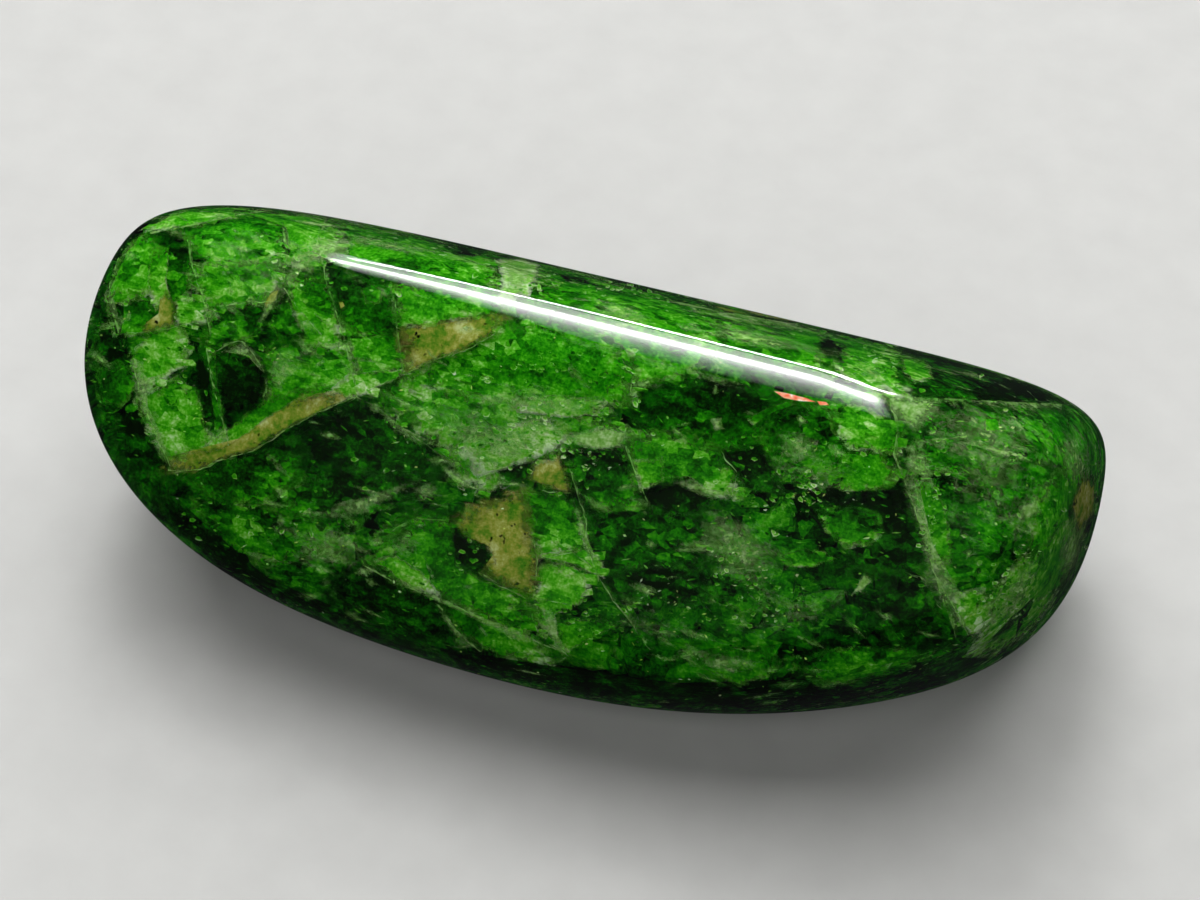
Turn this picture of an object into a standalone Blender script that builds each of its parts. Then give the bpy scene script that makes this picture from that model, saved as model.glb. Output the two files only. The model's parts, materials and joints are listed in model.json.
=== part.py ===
"""A tumble-polished chrome diopside crystal, lying on its widest worn flat.

The real thing is one piece of stone, so the model is one closed solid. Tumbling rubs a
broken crystal down to a few broad flats and rounds every edge between them. The shape is
made the same way: each flat below has a direction and a distance from the middle of the
stone, and a ball of points is pulled on to all of them at once with soft edges between.

Lengths are in metres, +Z is up, +X is the long way and -Y is the broad polished front.
The origin is under the middle of the stone, at the height of the surface it lies on.
"""

import math

import bmesh
import bpy
from mathutils import Vector

MM = 0.001

# The driving dimensions: the ball that is stretched before the flats shape it.
LENGTH = 53 * MM
DEPTH = 26 * MM
HEIGHT = 19 * MM

# How sharply the flats meet. A higher number gives flatter faces and tighter edges.
EDGE_SHARPNESS = 7

# The base is cut truly flat where it is within this much of the lowest point.
BASE_WEAR = 0.2 * MM

# Steps along each edge of the cube that the ball is made from.
CUBE_STEPS = 20

# Each worn flat: (compass direction, tilt above level, distance from the middle).
# A direction of 0 degrees looks along +X, 90 along +Y; tilt is in degrees too.
WORN_FLATS = {
    "base": (0, -90, 9.5 * MM),
    "crown": (90, 85, 10.5 * MM),
    "front": (-92, 52, 8.5 * MM),
    "belly": (-90, 5, 14.5 * MM),
    "keel": (-90, -42, 14.0 * MM),
    "back_slope": (91, 50, 8.2 * MM),
    "back": (93, 10, 13.0 * MM),
    "back_low": (92, -35, 12.0 * MM),
    "left_end": (188, 12, 31.0 * MM),
    "left_shoulder": (180, 50, 27.0 * MM),
    "left_front": (-125, -30, 21.0 * MM),
    "left_low": (183, -40, 26.5 * MM),
    "left_back": (136, 10, 27.0 * MM),
    "right_end": (-5, 5, 25.0 * MM),
    "right_shoulder": (0, 45, 26.5 * MM),
    "right_front": (-60, -25, 16.2 * MM),
    "right_low": (-13, -40, 26.5 * MM),
    "right_back": (40, 5, 30.0 * MM),
}

CRYSTAL_GREEN = (0.012, 0.16, 0.010, 1.0)
DIOPSIDE_IOR = 1.68


def direction(compass, tilt):
    """The unit vector that points out of a worn flat."""
    compass = math.radians(compass)
    tilt = math.radians(tilt)
    level = math.cos(tilt)
    return Vector((level * math.cos(compass), level * math.sin(compass), math.sin(tilt)))


def pulled_to_flats(point, flats):
    """Moves a point in or out along its own line until it lies on the softened flats."""
    reach = 0.0
    for outward, distance in flats:
        towards = max(0.0, point.dot(outward) / distance)
        reach += towards**EDGE_SHARPNESS
    return point / reach ** (1 / EDGE_SHARPNESS)


def cube_ball():
    """A ball made from a cube, so that it is all four-sided faces and has no poles."""
    mesh = bmesh.new()
    bmesh.ops.create_cube(mesh, size=2.0)
    bmesh.ops.subdivide_edges(mesh, edges=mesh.edges[:], cuts=CUBE_STEPS - 1, use_grid_fill=True)
    for vert in mesh.verts:
        evened = Vector([math.tan(axis * math.pi / 4) for axis in vert.co])
        vert.co = evened.normalized()
    return mesh


def worn_shape(mesh):
    """Stretches the ball to the stone's proportions and rubs it down to its flats."""
    flats = [(direction(compass, tilt), distance) for compass, tilt, distance in WORN_FLATS.values()]
    stretch = Vector((LENGTH / 2, DEPTH / 2, HEIGHT / 2))
    for vert in mesh.verts:
        vert.co = pulled_to_flats(vert.co * stretch, flats)


def stood_on_base(mesh):
    """Cuts the base flat and puts the origin under the middle of the stone."""
    rest_level = min(vert.co.z for vert in mesh.verts) + BASE_WEAR
    for vert in mesh.verts:
        vert.co.z = max(vert.co.z, rest_level)
    middle_x = (min(v.co.x for v in mesh.verts) + max(v.co.x for v in mesh.verts)) / 2
    middle_y = (min(v.co.y for v in mesh.verts) + max(v.co.y for v in mesh.verts)) / 2
    bmesh.ops.translate(mesh, verts=mesh.verts[:], vec=(-middle_x, -middle_y, -rest_level))


def polished_green():
    """Deep chrome green with a wet polish, clear enough to let light into the stone."""
    material = bpy.data.materials.new("polished_chrome_diopside")
    material.use_nodes = True
    shader = material.node_tree.nodes["Principled BSDF"]
    shader.inputs["Base Color"].default_value = CRYSTAL_GREEN
    shader.inputs["Metallic"].default_value = 0.0
    shader.inputs["Roughness"].default_value = 0.04
    shader.inputs["IOR"].default_value = DIOPSIDE_IOR
    return material


def make_crystal():
    """The whole stone, as one named object."""
    shape = cube_ball()
    worn_shape(shape)
    stood_on_base(shape)
    bmesh.ops.recalc_face_normals(shape, faces=shape.faces[:])
    mesh = bpy.data.meshes.new("diopside_crystal")
    shape.to_mesh(mesh)
    shape.free()
    mesh.shade_smooth()
    crystal = bpy.data.objects.new("diopside_crystal", mesh)
    crystal.data.materials.append(polished_green())
    bpy.context.scene.collection.objects.link(crystal)
    return crystal


for old in list(bpy.data.objects):
    bpy.data.objects.remove(old)
make_crystal()
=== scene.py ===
# %% [markdown]
# # A tumble-polished chrome diopside crystal
#
# The real thing is one lump of deep green stone, about as long as a thumb. It was a crystal
# once, but days in a tumbler wore off its faces, so what is left is a smooth pebble with a
# wet polish. All of its detail is inside: flat breaks called cleavage cut the stone into a
# mosaic of little blocks, and each block is as dark or bright as the light that reaches it.
#
# So this lesson builds two things. First comes a clear green skin in the exact worn shape,
# then the mosaic that is seen through it, from the dark middle out to the palest cracks.

# %% Load the measured stone
import json
import math
import random

import bmesh
import bpy
import numpy as np
from mathutils import Matrix, Vector

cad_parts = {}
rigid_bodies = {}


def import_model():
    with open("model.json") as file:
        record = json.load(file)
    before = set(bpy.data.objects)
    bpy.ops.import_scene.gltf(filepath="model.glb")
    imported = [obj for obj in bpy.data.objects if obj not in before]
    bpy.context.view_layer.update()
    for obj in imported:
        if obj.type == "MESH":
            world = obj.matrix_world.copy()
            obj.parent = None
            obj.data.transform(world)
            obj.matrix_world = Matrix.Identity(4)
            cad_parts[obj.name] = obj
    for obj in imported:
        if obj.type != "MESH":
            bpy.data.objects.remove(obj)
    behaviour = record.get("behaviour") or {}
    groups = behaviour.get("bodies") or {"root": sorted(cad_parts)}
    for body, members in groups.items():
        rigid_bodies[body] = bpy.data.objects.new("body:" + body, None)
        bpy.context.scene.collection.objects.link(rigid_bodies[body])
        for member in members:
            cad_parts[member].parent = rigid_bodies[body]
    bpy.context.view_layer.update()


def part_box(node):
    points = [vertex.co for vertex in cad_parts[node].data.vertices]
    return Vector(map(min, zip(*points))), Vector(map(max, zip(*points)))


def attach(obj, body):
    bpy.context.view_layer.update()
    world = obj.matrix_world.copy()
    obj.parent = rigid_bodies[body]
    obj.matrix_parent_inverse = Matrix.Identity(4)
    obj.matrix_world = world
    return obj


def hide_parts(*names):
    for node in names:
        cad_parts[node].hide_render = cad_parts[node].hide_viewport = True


MM = 0.001

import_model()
stone_low, stone_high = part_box("diopside_crystal")
stone_size = stone_high - stone_low
print("stone, mm:", [round(side / MM, 2) for side in stone_size])


# %% [markdown]
# ## Colours and nodes
#
# Blender mixes light in linear numbers, while a colour picker and a web page give sRGB ones.
# One function turns an sRGB hex value into what a shader wants. A second one adds a node,
# sets its options and inputs, and links whatever is itself the output of another node.

# %% Two small helpers
def colour(hex_value):
    """An sRGB hex value as a linear colour with an alpha of one."""
    parts = [int(hex_value[i:i + 2], 16) / 255 for i in (1, 3, 5)]
    linear = [part / 12.92 if part <= 0.04045 else ((part + 0.055) / 1.055)**2.4 for part in parts]
    return (*linear, 1.0)


def add(tree, kind, settings=None, **inputs):
    """Adds one node. Inputs are named by socket, with _ for a space, or by _0, _1 for a number."""
    node = tree.nodes.new(kind)
    for name, value in (settings or {}).items():
        setattr(node, name, value)
    for name, value in inputs.items():
        number = name[1:]
        socket = node.inputs[int(number)] if number.isdigit() else node.inputs[name.replace("_", " ")]
        if isinstance(value, bpy.types.NodeSocket):
            tree.links.new(value, socket)
        else:
            socket.default_value = value
    return node


# %% [markdown]
# ## The camera
#
# The photograph looks down on the stone at about 47 degrees, from a little to the right of
# square on. A long 85 mm lens held close keeps the two ends nearly the same size. The eye is
# placed by walking back from a point in the stone, so the three numbers can be changed alone.

# %% Camera
PHOTO_WIDTH = 1200
PHOTO_HEIGHT = 900
VIEW_COMPASS = math.radians(20)
VIEW_TILT = math.radians(47)
VIEW_DISTANCE = 148 * MM
VIEW_TARGET = Vector((1.5, 0.0, 9.3)) * MM
LENS = 85.0
SENSOR_WIDTH = 36.0

towards_eye = Vector((
    math.sin(VIEW_COMPASS) * math.cos(VIEW_TILT),
    -math.cos(VIEW_COMPASS) * math.cos(VIEW_TILT),
    math.sin(VIEW_TILT),
))
eye = VIEW_TARGET + towards_eye * VIEW_DISTANCE

lens = bpy.data.cameras.new("camera")
lens.lens = LENS
lens.sensor_width = SENSOR_WIDTH
lens.clip_start = 1 * MM
camera = bpy.data.objects.new("camera", lens)
camera.location = eye
camera.rotation_euler = (-towards_eye).to_track_quat("-Z", "Y").to_euler()
bpy.context.scene.collection.objects.link(camera)
bpy.context.scene.camera = camera
bpy.context.view_layer.update()
print("eye, mm:", [round(number / MM, 1) for number in eye])


# %% A line of sight
def line_of_sight(across, down):
    """The direction from the eye through a pixel of the 1200 by 900 photograph."""
    focal_pixels = LENS / SENSOR_WIDTH * PHOTO_WIDTH
    in_camera = Vector((
        (across - PHOTO_WIDTH / 2) / focal_pixels,
        (PHOTO_HEIGHT / 2 - down) / focal_pixels,
        -1.0,
    ))
    return (camera.matrix_world.to_3x3() @ in_camera).normalized()


# %% [markdown]
# ## The worn shape
#
# Tumbling rubs a broken crystal down to a few broad flats with round edges between them. The
# stone was measured that way: a direction and a distance for each flat. A ball of points is
# pulled on to all of the flats at once. The power decides how sharply they meet, and moving
# every flat inwards by the same depth gives the layers that lie under the skin.

# %% The flats and the surface under them
BALL_SIZE = Vector((53, 26, 19)) * MM
EDGE_SHARPNESS = 7
BASE_WEAR = 0.2 * MM
WORN_FLATS = {
    "base": (0, -90, 9.5),
    "crown": (90, 85, 10.5),
    "front": (-92, 52, 8.5),
    "belly": (-90, 5, 14.5),
    "keel": (-90, -42, 14.0),
    "back_slope": (91, 50, 8.2),
    "back": (93, 10, 13.0),
    "back_low": (92, -35, 12.0),
    "left_end": (188, 12, 31.0),
    "left_shoulder": (180, 50, 27.0),
    "left_front": (-125, -30, 21.0),
    "left_low": (183, -40, 26.5),
    "left_back": (136, 10, 27.0),
    "right_end": (-5, 5, 25.0),
    "right_shoulder": (0, 45, 26.5),
    "right_front": (-60, -25, 16.2),
    "right_low": (-13, -40, 26.5),
    "right_back": (40, 5, 30.0),
}

flat_compass = np.radians([flat[0] for flat in WORN_FLATS.values()])
flat_tilt = np.radians([flat[1] for flat in WORN_FLATS.values()])
flat_distance = np.array([flat[2] for flat in WORN_FLATS.values()]) * MM
flat_outward = np.stack([
    np.cos(flat_tilt) * np.cos(flat_compass),
    np.cos(flat_tilt) * np.sin(flat_compass),
    np.sin(flat_tilt),
], axis=1)


def reach(points, depth=0.0):
    """How far out each point is: 1 on the surface that lies depth below the skin, 0 in the middle."""
    towards = np.maximum(0.0, points @ flat_outward.T / (flat_distance - depth))
    return (towards**EDGE_SHARPNESS).sum(axis=1)**(1 / EDGE_SHARPNESS)


def ball_points(steps):
    """A mesh ball made from a cube, all four-sided faces and no poles."""
    ball = bmesh.new()
    bmesh.ops.create_cube(ball, size=2.0)
    bmesh.ops.subdivide_edges(ball, edges=ball.edges[:], cuts=steps - 1, use_grid_fill=True)
    for vert in ball.verts:
        evened = Vector([math.tan(axis * math.pi / 4) for axis in vert.co])
        vert.co = evened.normalized()
    return ball


def worn_points(ball, depth=0.0):
    """The ball's points pulled to the surface depth below the skin, about the stone's middle."""
    points = np.array([vert.co for vert in ball.verts]) * np.array(BALL_SIZE) / 2
    return points / reach(points, depth)[:, None]


def mesh_object(name, mesh_data, material):
    """Links a mesh as a piece at the origin, with one material."""
    piece = bpy.data.objects.new(name, mesh_data)
    mesh_data.materials.clear()
    mesh_data.materials.append(material)
    bpy.context.scene.collection.objects.link(piece)
    return piece


# %% Where the middle of the stone is
rough = ball_points(60)
rough_points = worn_points(rough)
rough.free()
rest_level = rough_points[:, 2].min() + BASE_WEAR
stone_middle = np.array([
    -(rough_points[:, 0].min() + rough_points[:, 0].max()) / 2,
    -(rough_points[:, 1].min() + rough_points[:, 1].max()) / 2,
    -rest_level,
])
print("middle of the flats, mm:", (stone_middle / MM).round(2))


# %% [markdown]
# ## The polished skin
#
# Polished diopside is as clear as bottle glass but bends light more (an index of about 1.68),
# and its chromium takes out red and blue along the way. That is what the two shaders below
# say: a Principled surface with all of its light transmitted, and a Volume Absorption that
# turns light greener with every millimetre. The skin has many small faces, because a
# reflection shows every flat one.

# %% Clear chrome green
DIOPSIDE_IOR = 1.68


def polished_chrome_diopside():
    """Tumble-polished clear silicate: a wet gloss over green depth."""
    material = bpy.data.materials.new("polished_chrome_diopside")
    material.use_nodes = True
    tree = material.node_tree
    shader = tree.nodes["Principled BSDF"]
    shader.inputs["Base Color"].default_value = (1.0, 1.0, 1.0, 1.0)
    shader.inputs["Roughness"].default_value = 0.03
    shader.inputs["IOR"].default_value = DIOPSIDE_IOR
    shader.inputs["Transmission Weight"].default_value = 1.0
    depth_colour = add(tree, "ShaderNodeVolumeAbsorption", Color=colour("#A2F266"), Density=420.0)
    tree.links.new(depth_colour.outputs["Volume"], tree.nodes["Material Output"].inputs["Volume"])
    return material


# %% The skin
SKIN_STEPS = 90


def polished_skin():
    """The worn shape with a flat base, fitted to the measured box."""
    ball = ball_points(SKIN_STEPS)
    points = worn_points(ball)
    points[:, 2] = np.maximum(points[:, 2], rest_level)
    low = points.min(axis=0)
    spread = points.max(axis=0) - low
    fitted = (points - low) / spread * np.array(stone_size) + np.array(stone_low)
    for vert, place in zip(ball.verts, fitted):
        vert.co = place
    bmesh.ops.recalc_face_normals(ball, faces=ball.faces[:])
    data = bpy.data.meshes.new("polished_skin")
    ball.to_mesh(data)
    ball.free()
    data.shade_smooth()
    return mesh_object("polished_skin", data, polished_chrome_diopside())


skin = polished_skin()
print("skin faces:", len(skin.data.polygons))


# %% [markdown]
# ## Looking into the stone
#
# The mosaic in the photograph is seen through a curved, light-bending surface. To put a block
# where it is seen, follow the line of sight from the eye to the skin, bend it there by Snell's
# law, and go on for the depth wanted. A block placed this way sits inside the stone at a real
# depth, so it stays put when the stone is looked at from anywhere else.

# %% A point inside, behind a pixel
def outward_at(place):
    """The direction that points straight out of the worn surface."""
    towards = np.maximum(0.0, (np.array(place) - stone_middle) @ flat_outward.T / flat_distance)
    return Vector((towards**(EDGE_SHARPNESS - 1) / flat_distance) @ flat_outward).normalized()


def bent_inwards(sight, outward):
    """The line of sight after it has passed into the stone."""
    ratio = 1 / DIOPSIDE_IOR
    facing = -sight.dot(outward)
    inner = math.sqrt(1 - ratio**2 * (1 - facing**2))
    return (ratio * sight + (ratio * facing - inner) * outward).normalized()


def seen_at(across, down, depth):
    """The point at that depth behind a pixel; a pixel just off the stone is drawn in to its rim."""
    step = 0.0
    while True:
        pull = Vector((PHOTO_WIDTH / 2 - across, PHOTO_HEIGHT / 2 - down)) * step
        sight = line_of_sight(across + pull.x, down + pull.y)
        hit, place, _, _ = skin.ray_cast(eye, sight)
        if hit:
            return place + bent_inwards(sight, outward_at(place)) * depth
        step += 0.01


print("5 mm in behind the middle pixel, mm:", [round(n / MM, 1) for n in seen_at(600, 450, 5 * MM)])


# %% [markdown]
# The far side was never photographed, but a stone has the same kind of mosaic all through. So
# whatever is drawn near the front is made a second time for the back: turned half round,
# shifted along a little and squeezed, so that the two sides do not read as twins. A copy that
# the camera could see face on is left out.

# %% The far side
FAR_SHIFT = np.array([4.0, 0.0, 1.0]) * MM
FAR_SQUEEZE = np.array([-0.9, -1.0, 0.9])
FAR_FACING = 0.3


def turned_round(place):
    """The matching place on the far side of the stone, as deep under the skin."""
    here = np.array(place) - stone_middle
    there = here * FAR_SQUEEZE + FAR_SHIFT
    same_depth = reach(here[None])[0] / reach(there[None])[0]
    return Vector(there * same_depth + stone_middle)


def both_sides(places):
    """These places, and their copies on the far side unless one of them faces the camera."""
    turned = [turned_round(place) for place in places]
    if max(outward_at(place).dot(towards_eye) for place in turned) > FAR_FACING:
        return [places]
    return [places, turned]


# %% [markdown]
# ## Three directions
#
# Diopside splits along two families of planes that cross at nearly a right angle, and parts
# less cleanly across them. Every break in the stone keeps to those three directions, which is
# why the mosaic looks ordered however small its pieces are.

# %% The crystal's own axes
fibre = Vector((0.95, -0.10, 0.16)).normalized()
cleave = Vector((0.12, 0.80, 0.60))
cleave = (cleave - fibre * cleave.dot(fibre)).normalized()
across_both = fibre.cross(cleave)
crystal_axes = Matrix((fibre, cleave, across_both)).transposed()
crystal_turn = crystal_axes.to_euler()
print("crystal turn, degrees:", [round(math.degrees(angle), 1) for angle in crystal_turn])


# %% [markdown]
# ## The finish of a broken face
#
# A cleavage face inside the stone is not one green. It is mottled by the stone behind it, drawn
# out into fibres along one axis, broken into steps about a millimetre across, and bruised
# pale where it has crushed. Each piece carries a number called tone in its mesh, from 0 for
# a black hollow to 1 for a white bruise, and the noises push that number up and down.

# %% Greens
FIBRE_WIDTH = 0.45 * MM
GRIT_WIDTH = 0.16 * MM
BLOTCH_WIDTH = 1.1 * MM
STEP_WIDTH = 1.3 * MM
CRUMB_WIDTH = 0.32 * MM
CLOUD_WIDTH = 5.0 * MM
CRUSH_WIDTH = 0.55 * MM
GREENS = [
    (0.00, "#071604"),
    (0.14, "#0C3603"),
    (0.30, "#196206"),
    (0.46, "#2F900A"),
    (0.62, "#58B61A"),
    (0.76, "#92CE52"),
    (0.90, "#D2E4AC"),
    (1.00, "#FAFBEE"),
]


def ramp(tree, factor, stops):
    """A colour ramp with these stops."""
    node = add(tree, "ShaderNodeValToRGB", Fac=factor)
    while len(node.color_ramp.elements) < len(stops):
        node.color_ramp.elements.new(0.5)
    for element, (position, hex_value) in zip(node.color_ramp.elements, stops):
        element.position = position
        element.color = colour(hex_value)
    return node.outputs["Color"]


def crystal_place(tree):
    """A point's place in metres, along the crystal's own axes."""
    place = add(tree, "ShaderNodeTexCoord").outputs["Object"]
    turned = add(tree, "ShaderNodeVectorRotate", {"rotation_type": "EULER_XYZ", "invert": True},
                 Vector=place, Rotation=crystal_turn)
    return turned.outputs["Vector"]


def cleaved_diopside(name, ragged=False):
    """Broken diopside seen from inside: mottled greens, drawn out in fibres, stepped."""
    material = bpy.data.materials.new(name)
    material.use_nodes = True
    tree = material.node_tree
    shader = tree.nodes["Principled BSDF"]
    place = crystal_place(tree)
    drawn_out = add(tree, "ShaderNodeMapping", Vector=place, Scale=(0.22, 1.0, 1.0))
    fibres = add(tree, "ShaderNodeTexNoise", Vector=drawn_out.outputs["Vector"],
                 Scale=1 / FIBRE_WIDTH, Detail=3.0, Roughness=0.65, Distortion=0.3)
    clouds = add(tree, "ShaderNodeTexNoise", Vector=place, Scale=1 / CLOUD_WIDTH, Detail=3.0,
                 Roughness=0.6)
    flat_steps = add(tree, "ShaderNodeMapping", Vector=place, Scale=(0.55, 1.0, 1.0))
    grit = add(tree, "ShaderNodeTexNoise", Vector=place, Scale=1 / GRIT_WIDTH, Detail=1.5,
               Roughness=0.7)
    steps = add(tree, "ShaderNodeTexVoronoi", {"distance": "CHEBYCHEV"},
                Vector=flat_steps.outputs["Vector"], Scale=1 / STEP_WIDTH, Randomness=0.8)
    step_shade = add(tree, "ShaderNodeSeparateColor", Color=steps.outputs["Color"])
    blotches = add(tree, "ShaderNodeTexNoise", Vector=place, Scale=1 / BLOTCH_WIDTH, Detail=3.0,
                   Distortion=0.6)
    crumbs = add(tree, "ShaderNodeTexVoronoi", Vector=flat_steps.outputs["Vector"],
                 Scale=1 / CRUMB_WIDTH)
    crumb_shade = add(tree, "ShaderNodeSeparateColor", Color=crumbs.outputs["Color"])
    crumbling = add(tree, "ShaderNodeMapRange", Value=clouds.outputs["Fac"], From_Min=0.42,
                    From_Max=0.6, To_Min=0.1, To_Max=0.42)
    even_crumbs = add(tree, "ShaderNodeMath", {"operation": "SUBTRACT"}, _0=crumb_shade.outputs["Green"],
                      _1=0.5)
    crush = add(tree, "ShaderNodeTexNoise", Vector=place, Scale=1 / CRUSH_WIDTH, Detail=3.0,
                Roughness=0.7)
    rim = add(tree, "ShaderNodeAttribute", {"attribute_name": "rim"}).outputs["Fac"]
    near_rim = add(tree, "ShaderNodeMath", {"operation": "MULTIPLY_ADD"}, _0=crush.outputs["Fac"],
                   _1=0.9, _2=rim)
    bruise = add(tree, "ShaderNodeMapRange", Value=near_rim.outputs["Value"], From_Min=1.1,
                 From_Max=1.5, To_Min=0.0, To_Max=0.3)
    tone = add(tree, "ShaderNodeAttribute", {"attribute_name": "tone"}).outputs["Fac"]
    shade = add(tree, "ShaderNodeMath", {"operation": "ADD"}, _0=tone,
                _1=bruise.outputs["Result"]).outputs["Value"]
    shade = add(tree, "ShaderNodeMath", {"operation": "MULTIPLY_ADD"}, _0=even_crumbs.outputs["Value"],
                _1=crumbling.outputs["Result"], _2=shade).outputs["Value"]
    for pattern, strength in ((fibres.outputs["Fac"], 0.5), (clouds.outputs["Fac"], 0.5),
                              (blotches.outputs["Fac"], 0.65), (grit.outputs["Fac"], 0.6),
                              (step_shade.outputs["Red"], 0.16)):
        push = add(tree, "ShaderNodeMath", {"operation": "MULTIPLY_ADD"}, _0=pattern,
                   _1=strength, _2=-strength / 2)
        shade = add(tree, "ShaderNodeMath", {"operation": "ADD"}, _0=shade,
                    _1=push.outputs["Value"]).outputs["Value"]
    green = ramp(tree, shade, GREENS)
    tree.links.new(green, shader.inputs["Base Color"])
    if ragged:
        solid = add(tree, "ShaderNodeMapRange", Value=near_rim.outputs["Value"], From_Min=1.08,
                    From_Max=1.46, To_Min=1.0, To_Max=0.0)
        tree.links.new(solid.outputs["Result"], shader.inputs["Alpha"])
    shader.inputs["Roughness"].default_value = 0.5
    shader.inputs["Specular IOR Level"].default_value = 0.0
    return material


broken_face = cleaved_diopside("cleaved_chrome_diopside")
ragged_face = cleaved_diopside("ragged_chrome_diopside", ragged=True)


# %% [markdown]
# ## The cleavage blocks
#
# Behind everything is a crowd of blocks, all turned the same way but for a few degrees.
# Geometry Nodes scatter points on a surface buried three millimetres down and put a block on
# each one. The blocks come in a few cut shapes, so that the crowd does not look like bricks.

# %% A few cut shapes
SHAPE_COUNT = 7
CUTS_PER_SHAPE = 6


def cut_shape(number):
    """A cube one metre wide with some of its corners split off flat."""
    dice = random.Random(number)
    shape = bmesh.new()
    bmesh.ops.create_cube(shape, size=1.0)
    for _ in range(CUTS_PER_SHAPE):
        corner = Vector([dice.choice((-1, 1)) * dice.uniform(0.3, 1.0) for _ in range(3)])
        cut = bmesh.ops.bisect_plane(
            shape, geom=shape.verts[:] + shape.edges[:] + shape.faces[:],
            plane_co=corner.normalized() * dice.uniform(0.34, 0.56), plane_no=corner, clear_outer=True)
        edges = [part for part in cut["geom_cut"] if isinstance(part, bmesh.types.BMEdge)]
        if edges:
            bmesh.ops.holes_fill(shape, edges=edges)
    bmesh.ops.recalc_face_normals(shape, faces=shape.faces[:])
    data = bpy.data.meshes.new(f"cut_shape_{number}")
    shape.to_mesh(data)
    shape.free()
    return bpy.data.objects.new(data.name, data)


cut_shapes = bpy.data.collections.new("cut_shapes")
bpy.context.scene.collection.children.link(cut_shapes)
for number in range(SHAPE_COUNT):
    cut_shapes.objects.link(cut_shape(number))


# %% The buried surface
HEART_DEPTH = 3.4 * MM
HEART_STEPS = 24


def buried_surface(name, depth, steps, tone):
    """The worn shape moved inwards, as a closed mesh with one tone."""
    ball = ball_points(steps)
    points = worn_points(ball, depth)
    points[:, 2] = np.maximum(points[:, 2], rest_level + depth)
    for vert, place in zip(ball.verts, points + stone_middle):
        vert.co = place
    bmesh.ops.recalc_face_normals(ball, faces=ball.faces[:])
    layer = ball.verts.layers.float.new("tone")
    for vert in ball.verts:
        vert[layer] = tone
    data = bpy.data.meshes.new(name)
    ball.to_mesh(data)
    ball.free()
    return mesh_object(name, data, broken_face)


heart = buried_surface("dark_heart", HEART_DEPTH, HEART_STEPS, 0.1)


# %% Node helpers for a scatter
def new_tree(name, inputs):
    """An empty Geometry Nodes tree with these named inputs and one geometry output."""
    tree = bpy.data.node_groups.new(name, "GeometryNodeTree")
    for label, kind in inputs.items():
        tree.interface.new_socket(label, in_out="INPUT", socket_type=f"NodeSocket{kind}")
    tree.interface.new_socket("Result", in_out="OUTPUT", socket_type="NodeSocketGeometry")
    return tree, add(tree, "NodeGroupInput").outputs, add(tree, "NodeGroupOutput").inputs["Result"]


def settled(piece, tree, name, **values):
    """Runs a node tree on a piece and keeps the result as a plain mesh of its own."""
    modifier = piece.modifiers.new("nodes", "NODES")
    modifier.node_group = tree
    for item in tree.interface.items_tree:
        label = item.name.replace(" ", "_")
        if item.in_out == "INPUT" and label in values:
            modifier[item.identifier] = values[label]
    bpy.context.view_layer.update()
    evaluated = piece.evaluated_get(bpy.context.evaluated_depsgraph_get())
    data = bpy.data.meshes.new_from_object(evaluated)
    data.name = name
    piece.modifiers.remove(modifier)
    return data


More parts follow.
